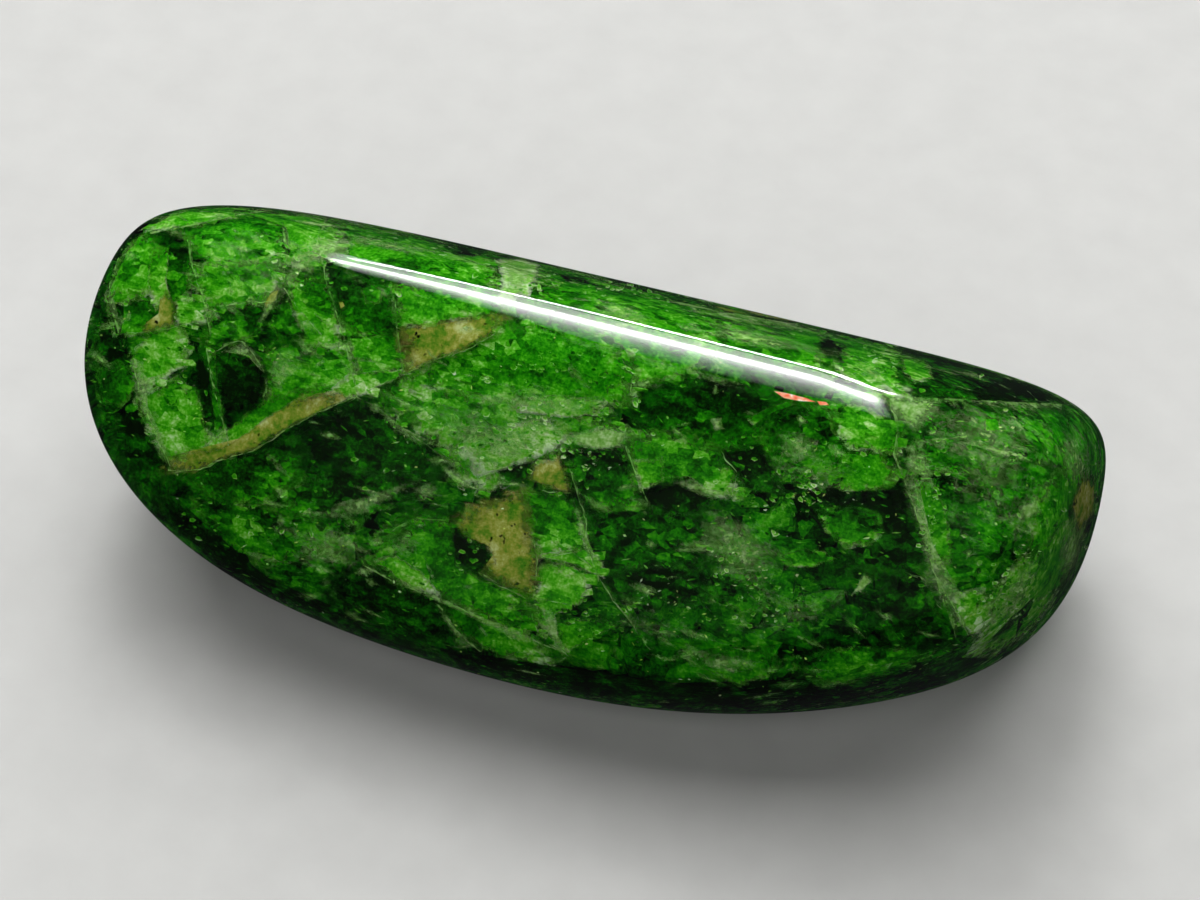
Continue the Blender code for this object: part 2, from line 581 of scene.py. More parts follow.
# %% Blocks by Geometry Nodes
def block_tree():
    """Points on a surface, a cut block on each, turned to the crystal's directions."""
    tree, given, result = new_tree("cleavage_blocks", {
        "Surface": "Geometry", "Shapes": "Collection", "Spacing": "Float", "Smallest": "Vector",
        "Largest": "Vector", "Turn": "Vector", "Wobble": "Vector", "Cloud Size": "Float",
        "Cloud Push": "Float", "Tone Spread": "Float", "Share On Dark": "Float", "Seed": "Int",
        "Finish": "Material",
    })
    under = add(tree, "GeometryNodeInputNamedAttribute", Name="tone").outputs["Attribute"]
    share = add(tree, "ShaderNodeMapRange", Value=under, From_Min=0.08, From_Max=0.5,
                To_Min=given["Share On Dark"], To_Max=1.0)
    scatter = add(tree, "GeometryNodeDistributePointsOnFaces", {"distribute_method": "POISSON"},
                  Mesh=given["Surface"], Distance_Min=given["Spacing"], Density_Max=8.0e6,
                  Density_Factor=share.outputs["Result"], Seed=given["Seed"])
    shapes = add(tree, "GeometryNodeCollectionInfo", Collection=given["Shapes"],
                 Separate_Children=True, Reset_Children=True)
    size = add(tree, "FunctionNodeRandomValue", {"data_type": "FLOAT_VECTOR"},
               _0=given["Smallest"], _1=given["Largest"], Seed=given["Seed"])
    other_way = add(tree, "ShaderNodeVectorMath", {"operation": "MULTIPLY"}, _0=given["Wobble"],
                    _1=(-1.0, -1.0, -1.0))
    wobble = add(tree, "FunctionNodeRandomValue", {"data_type": "FLOAT_VECTOR"},
                 _0=other_way.outputs["Vector"], _1=given["Wobble"], Seed=6)
    turn = add(tree, "ShaderNodeVectorMath", {"operation": "ADD"}, _0=given["Turn"],
               _1=wobble.outputs[0])
    rimless = add(tree, "GeometryNodeRemoveAttribute", Geometry=scatter.outputs["Points"], Name="rim")
    placed = add(tree, "GeometryNodeInstanceOnPoints", Points=rimless.outputs["Geometry"],
                 Instance=shapes.outputs["Instances"], Pick_Instance=True,
                 Rotation=turn.outputs["Vector"], Scale=size.outputs[0])
    place = add(tree, "GeometryNodeInputPosition")
    per_cloud = add(tree, "ShaderNodeMath", {"operation": "DIVIDE"}, _0=1.0, _1=given["Cloud Size"])
    cloud = add(tree, "ShaderNodeTexNoise", Vector=place.outputs["Position"],
                Scale=per_cloud.outputs["Value"], Detail=1.0)
    even_cloud = add(tree, "ShaderNodeMath", {"operation": "SUBTRACT"}, _0=cloud.outputs["Fac"], _1=0.5)
    cloudy = add(tree, "ShaderNodeMath", {"operation": "MULTIPLY_ADD"}, _0=even_cloud.outputs["Value"],
                 _1=given["Cloud Push"], _2=under)
    chance = add(tree, "FunctionNodeRandomValue", {"data_type": "FLOAT"}, _2=-0.5, _3=0.5, Seed=7)
    tone = add(tree, "ShaderNodeMath", {"operation": "MULTIPLY_ADD"}, _0=chance.outputs[1],
               _1=given["Tone Spread"], _2=cloudy.outputs["Value"])
    toned = add(tree, "GeometryNodeStoreNamedAttribute", {"data_type": "FLOAT", "domain": "INSTANCE"},
                Geometry=placed.outputs["Instances"], Name="tone", Value=tone.outputs["Value"])
    sink = add(tree, "FunctionNodeRandomValue", {"data_type": "FLOAT"}, Seed=8)
    sunk = add(tree, "GeometryNodeStoreNamedAttribute", {"data_type": "FLOAT", "domain": "INSTANCE"},
               Geometry=toned.outputs["Geometry"], Name="sink", Value=sink.outputs[1])
    real = add(tree, "GeometryNodeRealizeInstances", Geometry=sunk.outputs["Geometry"])
    finish = add(tree, "GeometryNodeSetMaterial", Geometry=real.outputs["Geometry"],
                 Material=given["Finish"])
    tree.links.new(finish.outputs["Geometry"], result)
    return tree


def keep_under(data, shallowest, deepest):
    """Pulls points that lie too near the skin back to their own depth below it."""
    sink = np.zeros(len(data.vertices))
    if "sink" in data.attributes:
        data.attributes["sink"].data.foreach_get("value", sink)
    depths = (shallowest + (deepest - shallowest) * sink).round(5)
    places = np.zeros(len(data.vertices) * 3)
    data.vertices.foreach_get("co", places)
    places = places.reshape(-1, 3) - stone_middle
    for depth in np.unique(depths):
        chosen = depths == depth
        out = reach(places[chosen], depth)
        places[chosen] /= np.maximum(1.0, out)[:, None]
    places[:, 2] = np.maximum(places[:, 2], rest_level + depths)
    data.vertices.foreach_set("co", (places + stone_middle).ravel())
    data.update()


CRYSTAL_WOBBLE = Vector((16, 8, 8)) * math.pi / 180
blocks_by_nodes = block_tree()


def scattered_blocks(name, surface, spacing, smallest, largest, cloud_push, tone_spread, seed,
                     shallowest, deepest, share_on_dark=1.0):
    """Blocks all over a surface, none nearer the skin than allowed. Lengths are in millimetres."""
    data = settled(
        surface, blocks_by_nodes, name,
        Shapes=cut_shapes, Spacing=spacing * MM,
        Smallest=Vector(smallest) * MM, Largest=Vector(largest) * MM,
        Turn=Vector(crystal_turn), Wobble=CRYSTAL_WOBBLE,
        Cloud_Size=7.0 * MM, Cloud_Push=cloud_push, Tone_Spread=tone_spread,
        Share_On_Dark=share_on_dark, Seed=seed, Finish=broken_face,
    )
    keep_under(data, shallowest * MM, deepest * MM)
    print(name, "faces:", len(data.polygons))
    return mesh_object(name, data, broken_face)


blocks = scattered_blocks("cleavage_blocks", heart, 1.2, (2.5, 1.6, 1.6), (9.0, 6.0, 6.0),
                          cloud_push=0.8, tone_spread=0.35, seed=4, shallowest=1.5, deepest=3.2)


# %% Smaller blocks over them
middle_layer = buried_surface("middle_layer", 1.9 * MM, HEART_STEPS, 0.34)
small_blocks = scattered_blocks("small_blocks", middle_layer, 1.1, (0.8, 0.5, 0.5), (3.4, 2.0, 2.0),
                                cloud_push=0.9, tone_spread=0.26, seed=14, shallowest=1.0,
                                deepest=2.0)
bpy.data.objects.remove(middle_layer)


# %% [markdown]
# ## The facets that can be told apart
#
# Some blocks lie close enough to the skin to have an outline of their own. They are drawn one
# by one as the corners seen in the photograph, each with a tone and a depth, and made as real
# wedges: a front face, and a back a little deeper. Where two overlap, the shallower one shows.
# Light comes in from above and is thrown back by the floor of each block. That is painted into
# the tone: every wedge gets painted shade along its top and painted light towards its foot.

# %% Green facets
FACETS = {
    # Painted shade: dark facets at the left rim and under the belly, where the stone shows only shade.
    "left_rim": (0.10, 0.7, [(88, 330), (98, 280), (125, 235), (118, 262), (108, 298), (118, 336),
                             (133, 355), (128, 366), (140, 398), (168, 458), (165, 475), (150, 500),
                             (112, 440), (95, 385)]),
    "rim_window": (0.36, 0.6, [(98, 370), (125, 362), (138, 385), (122, 405), (100, 403)]),
    "rim_window_low": (0.03, 1.0, [(120, 402), (140, 398), (165, 452), (162, 470), (135, 472), (118, 425)]),
    "belly_left": (0.03, 0.5, [(150, 490), (186, 506), (200, 545), (260, 580), (340, 617), (440, 652),
                               (430, 668), (300, 625), (200, 565), (150, 515)]),
    "belly_middle": (0.00, 0.4, [(440, 645), (560, 672), (680, 690), (820, 690), (940, 668), (935, 690),
                                 (800, 715), (640, 708), (500, 685), (420, 665)]),
    "belly_right": (0.05, 0.6, [(940, 655), (1000, 635), (1050, 580), (1085, 510), (1100, 520),
                                (1075, 590), (1020, 650), (940, 690)]),
    # The plate of blocks at the upper left.
    "lime_top": (0.62, 0.8, [(150, 232), (165, 212), (205, 202), (250, 208), (232, 218), (195, 226)]),
    "upper_left": (0.50, 0.9, [(114, 262), (140, 238), (152, 234), (160, 250), (155, 290), (128, 300),
                               (108, 296)]),
    "lower_left": (0.45, 1.0, [(108, 298), (150, 302), (158, 318), (144, 325), (143, 333), (117, 336)]),
    "shaded_pillar": (0.34, 1.0, [(163, 250), (190, 244), (192, 275), (182, 300), (174, 305), (162, 278)]),
    "upper_shelf": (0.50, 0.9, [(195, 226), (255, 214), (285, 226), (285, 262), (210, 266), (190, 245)]),
    "vivid_shelf": (0.52, 0.7, [(196, 266), (276, 262), (278, 285), (262, 302), (210, 307), (192, 280)]),
    "vivid_tile": (0.62, 0.7, [(177, 300), (205, 302), (206, 322), (178, 325)]),
    "left_tile": (0.64, 0.7, [(150, 331), (178, 326), (187, 350), (182, 366), (148, 391), (138, 378),
                              (131, 356), (140, 345)]),
    "left_floor": (0.56, 0.8, [(145, 392), (178, 378), (196, 395), (206, 425), (212, 442), (198, 455),
                               (168, 460), (150, 430), (138, 400)]),
    "dark_cleft": (0.06, 0.6, [(197, 352), (210, 372), (208, 388), (216, 420), (206, 426), (198, 395)]),
    "roof": (0.34, 0.8, [(208, 311), (262, 303), (272, 309), (258, 330), (235, 345), (208, 346)]),
    "hollow": (0.01, 0.5, [(215, 355), (224, 345), (240, 341), (258, 362), (266, 385), (262, 399),
                           (240, 414), (225, 418), (222, 398), (216, 376)]),
    "hollow_wall": (0.40, 0.7, [(206, 345), (216, 350), (216, 376), (224, 418), (230, 440), (216, 440),
                                (210, 385), (200, 355)]),
    "little_roof": (0.12, 0.5, [(284, 288), (292, 308), (306, 336), (282, 336), (268, 326)]),
    "streaked_wall": (0.50, 0.7, [(290, 281), (323, 278), (336, 312), (342, 345), (306, 345), (292, 308)]),
    "deep_window": (0.34, 0.8, [(324, 276), (390, 282), (394, 302), (398, 330), (352, 336), (338, 310)]),
    "window_light": (0.46, 0.6, [(362, 290), (372, 285), (384, 290), (380, 302), (366, 303)]),
    "under_window": (0.46, 0.8, [(350, 337), (398, 331), (403, 370), (362, 373), (353, 355)]),
    "plate_middle": (0.52, 0.8, [(268, 345), (348, 346), (354, 372), (352, 388), (300, 396), (266, 406),
                                 (270, 380)]),
    "ridge_front": (0.56, 0.8, [(392, 286), (440, 290), (505, 305), (503, 312), (440, 322), (398, 326)]),
    "sweep_end": (0.70, 0.5, [(352, 374), (401, 371), (402, 375), (356, 397), (330, 393)]),
    # The dark lower left.
    "under_sweep": (0.07, 0.8, [(308, 432), (356, 400), (380, 408), (392, 426), (425, 446), (452, 470),
                                (400, 482), (340, 468), (300, 456)]),
    "left_mottle": (0.25, 0.45, [(190, 478), (215, 465), (255, 452), (290, 440), (305, 458), (300, 480),
                                (262, 502), (235, 502), (205, 492)]),
    "long_shade": (0.13, 0.5, [(268, 492), (340, 470), (440, 478), (412, 500), (350, 516), (300, 520)]),
    "left_fibres": (0.32, 0.8, [(203, 500), (268, 508), (340, 502), (356, 520), (330, 548), (270, 562),
                                (225, 552), (205, 530)]),
    "left_foot": (0.34, 1.0, [(262, 560), (335, 548), (345, 570), (330, 612), (300, 600), (262, 578)]),
    "round_hollow": (0.13, 0.6, [(330, 590), (346, 570), (376, 570), (402, 586), (440, 600), (452, 626),
                                 (440, 642), (400, 640), (348, 625)]),
    "wing": (0.46, 0.6, [(372, 562), (382, 540), (412, 520), (448, 514), (455, 540), (456, 566),
                         (480, 580), (526, 602), (530, 628), (500, 622), (450, 600), (402, 583)]),
    "wing_light": (0.68, 0.4, [(378, 563), (395, 556), (420, 572), (440, 594), (412, 588)]),
    "under_wing": (0.47, 0.9, [(435, 600), (455, 604), (500, 624), (540, 642), (548, 662), (500, 655),
                               (455, 628)]),
    "patch_shadow": (0.07, 0.6, [(452, 534), (486, 546), (497, 562), (478, 576), (456, 562)]),
    # The middle.
    "middle_green": (0.50, 0.9, [(440, 350), (505, 322), (600, 330), (640, 350), (620, 400), (560, 420),
                                 (500, 410), (440, 400), (404, 376)]),
    "centre_green": (0.56, 0.8, [(404, 378), (440, 392), (500, 402), (560, 412), (606, 424), (630, 436),
                                 (600, 450), (562, 450), (536, 464), (486, 488), (455, 474), (450, 448),
                                 (412, 420), (392, 400)]),
    "centre_pale": (0.72, 0.6, [(462, 444), (500, 430), (540, 420), (566, 432), (552, 448), (520, 462),
                                (484, 474)]),
    "centre_lime": (0.66, 0.6, [(520, 400), (560, 396), (600, 402), (596, 414), (560, 416), (524, 412)]),
    "green_door": (0.42, 0.7, [(525, 490), (562, 492), (576, 506), (582, 536), (586, 551), (540, 556),
                               (532, 530)]),
    "pale_fold": (0.68, 0.5, [(540, 556), (586, 549), (602, 562), (602, 577), (574, 564)]),
    "lime_door": (0.66, 0.6, [(541, 563), (574, 566), (592, 580), (580, 602), (556, 612), (548, 636),
                              (538, 608)]),
    "lime_foot": (0.50, 0.6, [(555, 632), (574, 620), (600, 619), (617, 626), (594, 636), (566, 652)]),
    "dark_sliver": (0.10, 0.5, [(499, 471), (534, 461), (527, 479), (503, 484)]),
    "dark_room": (0.27, 0.7, [(564, 448), (626, 447), (633, 470), (648, 504), (600, 507), (576, 496),
                              (568, 470)]),
    "bright_room": (0.47, 0.6, [(626, 440), (660, 434), (702, 444), (722, 452), (736, 476), (734, 496),
                                (714, 496), (690, 477), (664, 477), (642, 491), (634, 468)]),
    "bright_corner": (0.62, 0.4, [(634, 462), (662, 458), (662, 480), (642, 490)]),
    "shade_below": (0.06, 0.6, [(640, 493), (680, 482), (716, 498), (702, 514), (660, 512), (646, 506)]),
    "deep_middle": (0.20, 0.9, [(588, 505), (650, 506), (705, 515), (722, 545), (690, 568), (640, 566),
                                (606, 574), (602, 560), (586, 548)]),
    "dark_stair": (0.07, 0.6, [(602, 578), (640, 568), (690, 570), (706, 590), (690, 606), (640, 600),
                               (612, 592)]),
    "stair_light": (0.30, 0.7, [(700, 572), (760, 572), (768, 610), (742, 612), (714, 596)]),
    # The shaded upper middle and right.
    "upper_middle": (0.48, 0.9, [(600, 330), (700, 358), (690, 376), (640, 380), (630, 352)]),
    "shade_above": (0.16, 0.8, [(690, 374), (762, 380), (778, 402), (760, 440), (722, 450), (700, 430),
                                (640, 430), (636, 404)]),
    "narrow_light": (0.40, 0.5, [(750, 418), (768, 408), (790, 401), (793, 405), (772, 413), (756, 423)]),
    "black_slot": (0.02, 0.5, [(724, 452), (758, 444), (774, 470), (782, 491), (746, 490), (738, 474)]),
    "right_shade": (0.30, 0.6, [(776, 404), (830, 408), (846, 430), (840, 470), (784, 476), (764, 442)]),
    "right_bright": (0.60, 0.6, [(832, 404), (862, 406), (902, 430), (896, 452), (850, 446), (836, 430)]),
    "right_bright_low": (0.52, 0.7, [(820, 454), (876, 452), (896, 472), (886, 488), (842, 488), (826, 474)]),
    "dark_bars": (0.05, 0.7, [(824, 496), (906, 489), (914, 510), (932, 562), (904, 576), (850, 570),
                              (850, 546), (832, 522)]),
    "bar_green": (0.32, 0.5, [(820, 512), (850, 508), (876, 514), (880, 530), (872, 542), (846, 546),
                              (830, 532)]),
    "pale_lens": (0.38, 0.5, [(782, 556), (800, 549), (824, 552), (836, 558), (812, 566), (790, 566)]),
    "black_foot": (0.12, 0.6, [(880, 592), (902, 575), (920, 584), (936, 610), (948, 640), (940, 656),
                               (905, 652), (882, 626)]),
    "deep_foot": (0.36, 0.9, [(790, 660), (850, 648), (930, 648), (905, 668), (830, 684)]),
    "low_middle": (0.44, 0.9, [(690, 652), (768, 648), (776, 670), (740, 684), (704, 668)]),
    # The clearer cell at the right end.
    "right_cell_top": (0.32, 0.8, [(905, 400), (1000, 402), (1062, 405), (1078, 440), (1060, 470),
                                   (960, 470), (918, 470)]),
    "right_cell": (0.34, 1.0, [(925, 470), (1050, 472), (1062, 510), (1030, 580), (1000, 630), (972, 636),
                               (940, 560)]),
    "cell_strip": (0.44, 0.7, [(908, 490), (930, 480), (946, 510), (950, 560), (934, 560)]),
    "cell_light": (0.60, 0.4, [(984, 418), (998, 418), (1000, 430), (986, 432)]),
    "cell_foot_green": (0.52, 0.5, [(985, 600), (1020, 560), (1050, 540), (1066, 520), (1078, 530),
                                    (1060, 580), (1035, 620), (1000, 645), (975, 645)]),
    "cell_side_green": (0.46, 0.6, [(1030, 500), (1062, 470), (1080, 470), (1085, 510), (1068, 560),
                                    (1040, 590), (1030, 560)]),
    "cell_glow": (0.70, 0.6, [(952, 596), (985, 590), (992, 620), (972, 634), (956, 616)]),
    "top_shade": (0.17, 0.5, [(902, 356), (950, 358), (1005, 372), (1050, 386), (1066, 404), (1000, 401),
                              (930, 397), (905, 384)]),
    "top_black": (-0.10, 0.3, [(978, 386), (1015, 382), (1050, 389), (1070, 402), (1010, 406),
                               (980, 401)]),
    "top_edge": (0.58, 0.4, [(930, 346), (1000, 364), (1062, 386), (1092, 408), (1084, 410), (1042, 389),
                             (995, 373), (935, 356)]),
    "top_glow": (0.56, 0.4, [(902, 358), (925, 362), (932, 378), (915, 382), (904, 372)]),
    "band_start": (0.60, 0.6, [(236, 212), (290, 216), (332, 222), (340, 250), (292, 262), (286, 226),
                               (255, 214)]),
    "band_left": (0.46, 0.6, [(330, 224), (400, 236), (480, 250), (496, 262), (494, 298), (400, 276),
                              (340, 262)]),
    "band_middle": (0.44, 0.6, [(538, 266), (620, 284), (700, 302), (720, 312), (718, 350), (640, 334),
                                (560, 312), (534, 302)]),
    "band_right": (0.46, 0.6, [(724, 310), (800, 328), (822, 334), (820, 360), (826, 376), (780, 366),
                               (722, 350)]),
    "band_end": (0.56, 0.6, [(842, 336), (890, 342), (904, 356), (908, 396), (870, 392), (842, 374)]),
    "sweep_bank": (0.58, 0.6, [(212, 442), (236, 424), (262, 402), (300, 390), (332, 386), (300, 402),
                               (262, 424), (236, 446), (214, 456)]),
    "left_lime": (0.60, 0.45, [(152, 252), (169, 248), (166, 280), (170, 298), (156, 306), (149, 285)]),
    "top_patch": (0.80, 0.35, [(497, 262), (520, 258), (537, 266), (534, 280), (527, 296), (500, 300),
                               (503, 276)]),
    "top_notch": (0.04, 0.5, [(818, 346), (828, 338), (840, 346), (840, 360), (826, 356)]),
    "far_wall": (0.40, 0.9, [(1062, 410), (1090, 440), (1098, 478), (1080, 480), (1060, 470)]),
}


TONE_DRIFT = 0.07
# Painted light and shade: how much lighter a wedge's tone is made at its foot and darker at its top.
PAINTED_FOOT_LIGHT = 0.13
BACK_SHARE = 0.65


def wedges(name, outlines, thickness, material, spill=1.0, copied=0.0):
    """One mesh of closed wedges, each with its front face behind its own corners in the view.

    Spill widens each a little, so that ragged neighbours overlap. Copied is the share of them
    that is made again for the far side.
    """
    shape = bmesh.new()
    tones = shape.verts.layers.float.new("tone")
    rims = shape.verts.layers.float.new("rim")
    dice = random.Random(name)
    for tone, depth, corners in outlines:
        middle = sum((Vector(corner) for corner in corners), Vector((0, 0))) / len(corners)
        corners = [middle + (Vector(corner) - middle) * spill for corner in corners]
        tallest = max(abs(y - middle.y) for _, y in corners)
        count = len(corners)
        # Each corner's tone shift: a random drift, plus painted shade at the top and painted light at the
        # foot.
        drift_and_painted_light = [dice.uniform(-TONE_DRIFT, TONE_DRIFT) + PAINTED_FOOT_LIGHT * (y - middle.y) / tallest
                 for _, y in corners]
        back_corners = [middle + (corner - middle) * BACK_SHARE for corner in corners]
        places = [seen_at(*corner, depth * MM) for corner in (*corners, middle)]
        places += [seen_at(*corner, depth * MM + thickness) for corner in (*back_corners, middle)]
        sides = both_sides(places) if dice.random() < copied else [places]
        for side in sides:
            front = [shape.verts.new(place) for place in side[:count + 1]]
            back = [shape.verts.new(place) for place in side[count + 1:]]
            for ring in (front, back):
                for vert, push in zip(ring, (*drift_and_painted_light, 0.0)):
                    vert[tones] = tone + push
                    vert[rims] = 1.0
                ring[-1][rims] = 0.0
            for i in range(count):
                j = (i + 1) % count
                shape.faces.new((front[-1], front[i], front[j]))
                shape.faces.new((back[-1], back[j], back[i]))
                shape.faces.new((front[j], front[i], back[i], back[j]))
    bmesh.ops.recalc_face_normals(shape, faces=shape.faces[:])
    data = bpy.data.meshes.new(name)
    shape.to_mesh(data)
    shape.free()
    return mesh_object(name, data, material)


facets = wedges("green_facets", FACETS.values(), 0.5 * MM, ragged_face, spill=1.2, copied=0.9)
keep_under(facets.data, 0.3 * MM, 0.3 * MM)
print("green facets:", len(FACETS))


# %% Chips on the facets
chips = scattered_blocks("facet_chips", facets, 0.75, (0.2, 0.12, 0.1), (1.0, 0.5, 0.4),
                         cloud_push=0.1, tone_spread=0.14, seed=24, shallowest=0.35, deepest=0.9,
                         share_on_dark=0.15)
for shape in list(cut_shapes.objects):
    bpy.data.objects.remove(shape)
bpy.data.collections.remove(cut_shapes)


# %% [markdown]
# ## Tan patches
#
# Where a crack reaches the skin, weather has stained it the tan of weak tea, with a few black
# grains of another mineral. These are flat, nearly opaque faces close under the polish.

# %% Stained faces
STAINED = {
    "sweep": (0.5, 0.35, [(168, 471), (168, 457), (215, 452), (236, 440), (265, 418), (300, 396), (330, 391),
                          (356, 395), (312, 416), (285, 430), (255, 450), (215, 462), (198, 471)]),
    "wedge": (0.5, 0.3, [(398, 328), (440, 322), (502, 311), (512, 317), (500, 329), (470, 348), (430, 362),
                         (404, 374)]),
    "left_strip": (0.65, 0.35, [(160, 296), (168, 290), (177, 303), (174, 326), (144, 332), (143, 325),
                              (158, 314)]),
    "middle_patch": (0.5, 0.35, [(450, 520), (465, 508), (485, 498), (526, 489), (532, 530), (541, 562),
                                 (536, 590), (528, 600), (505, 588), (480, 573), (496, 565), (485, 546),
                                 (464, 536)]),
    "little_patch": (0.45, 0.35, [(526, 479), (534, 464), (560, 455), (566, 470), (572, 494), (555, 490),
                                  (540, 485)]),
    "little_strip": (0.6, 0.4, [(271, 291), (280, 288), (276, 300), (266, 309), (264, 303)]),
    "brown_dot": (0.4, 0.3, [(338, 302), (343, 301), (345, 306), (341, 309)]),
    "far_rim": (1.05, 0.25, [(1070, 506), (1080, 478), (1096, 482), (1094, 512), (1078, 536)]),
}
GRAIN_WIDTH = 0.5 * MM


def stained_diopside():
    """Weathered cleavage faces: matt tan over green, with black grains."""
    material = bpy.data.materials.new("weather_stained_cleavage")
    material.use_nodes = True
    tree = material.node_tree
    shader = tree.nodes["Principled BSDF"]
    place = crystal_place(tree)
    clouds = add(tree, "ShaderNodeTexNoise", Vector=place, Scale=1 / (1.5 * MM), Detail=5.0,
                 Roughness=0.8)
    tan = ramp(tree, clouds.outputs["Fac"], [
        (0.38, "#427E16"), (0.45, "#748E2A"), (0.51, "#9E9A40"), (0.57, "#B8AE60"), (0.66, "#D8D2A2"),
    ])
    grains = add(tree, "ShaderNodeTexNoise", Vector=place, Scale=1 / GRAIN_WIDTH, Detail=2.0)
    black = ramp(tree, grains.outputs["Fac"], [(0.66, "#FFFFFF"), (0.71, "#1A140C")])
    both = add(tree, "ShaderNodeMix", {"data_type": "RGBA", "blend_type": "MULTIPLY"}, _0=1.0,
               _6=tan, _7=black)
    ragged = add(tree, "ShaderNodeTexNoise", Vector=place, Scale=1 / (0.6 * MM), Detail=5.0,
                 Roughness=0.7)
    rim = add(tree, "ShaderNodeAttribute", {"attribute_name": "rim"}).outputs["Fac"]
    near_rim = add(tree, "ShaderNodeMath", {"operation": "MULTIPLY_ADD"}, _0=ragged.outputs["Fac"],
                   _1=0.8, _2=rim)
    solid = add(tree, "ShaderNodeMapRange", Value=near_rim.outputs["Value"], From_Min=0.98,
                From_Max=1.36, To_Min=1.0, To_Max=0.0)
    tree.links.new(both.outputs[2], shader.inputs["Base Color"])
    tree.links.new(solid.outputs["Result"], shader.inputs["Alpha"])
    shader.inputs["Roughness"].default_value = 0.6
    shader.inputs["Specular IOR Level"].default_value = 0.0
    return material


stained = wedges("stained_facets", STAINED.values(), 0.3 * MM, stained_diopside(), spill=1.1,
                 copied=0.4)
print("stained facets:", len(STAINED))


# %% [markdown]
# ## Veils
#
# A break that has crushed a little scatters light and looks like frost: a pale veil, dense in
# the middle and feathery at its edges. Each veil is a thin sheet that follows the skin, with a
# number called cover in its mesh, full in the middle and nothing at the edge. The finish shows
# the sheet only where a fibrous noise, lifted by that number, is high enough.

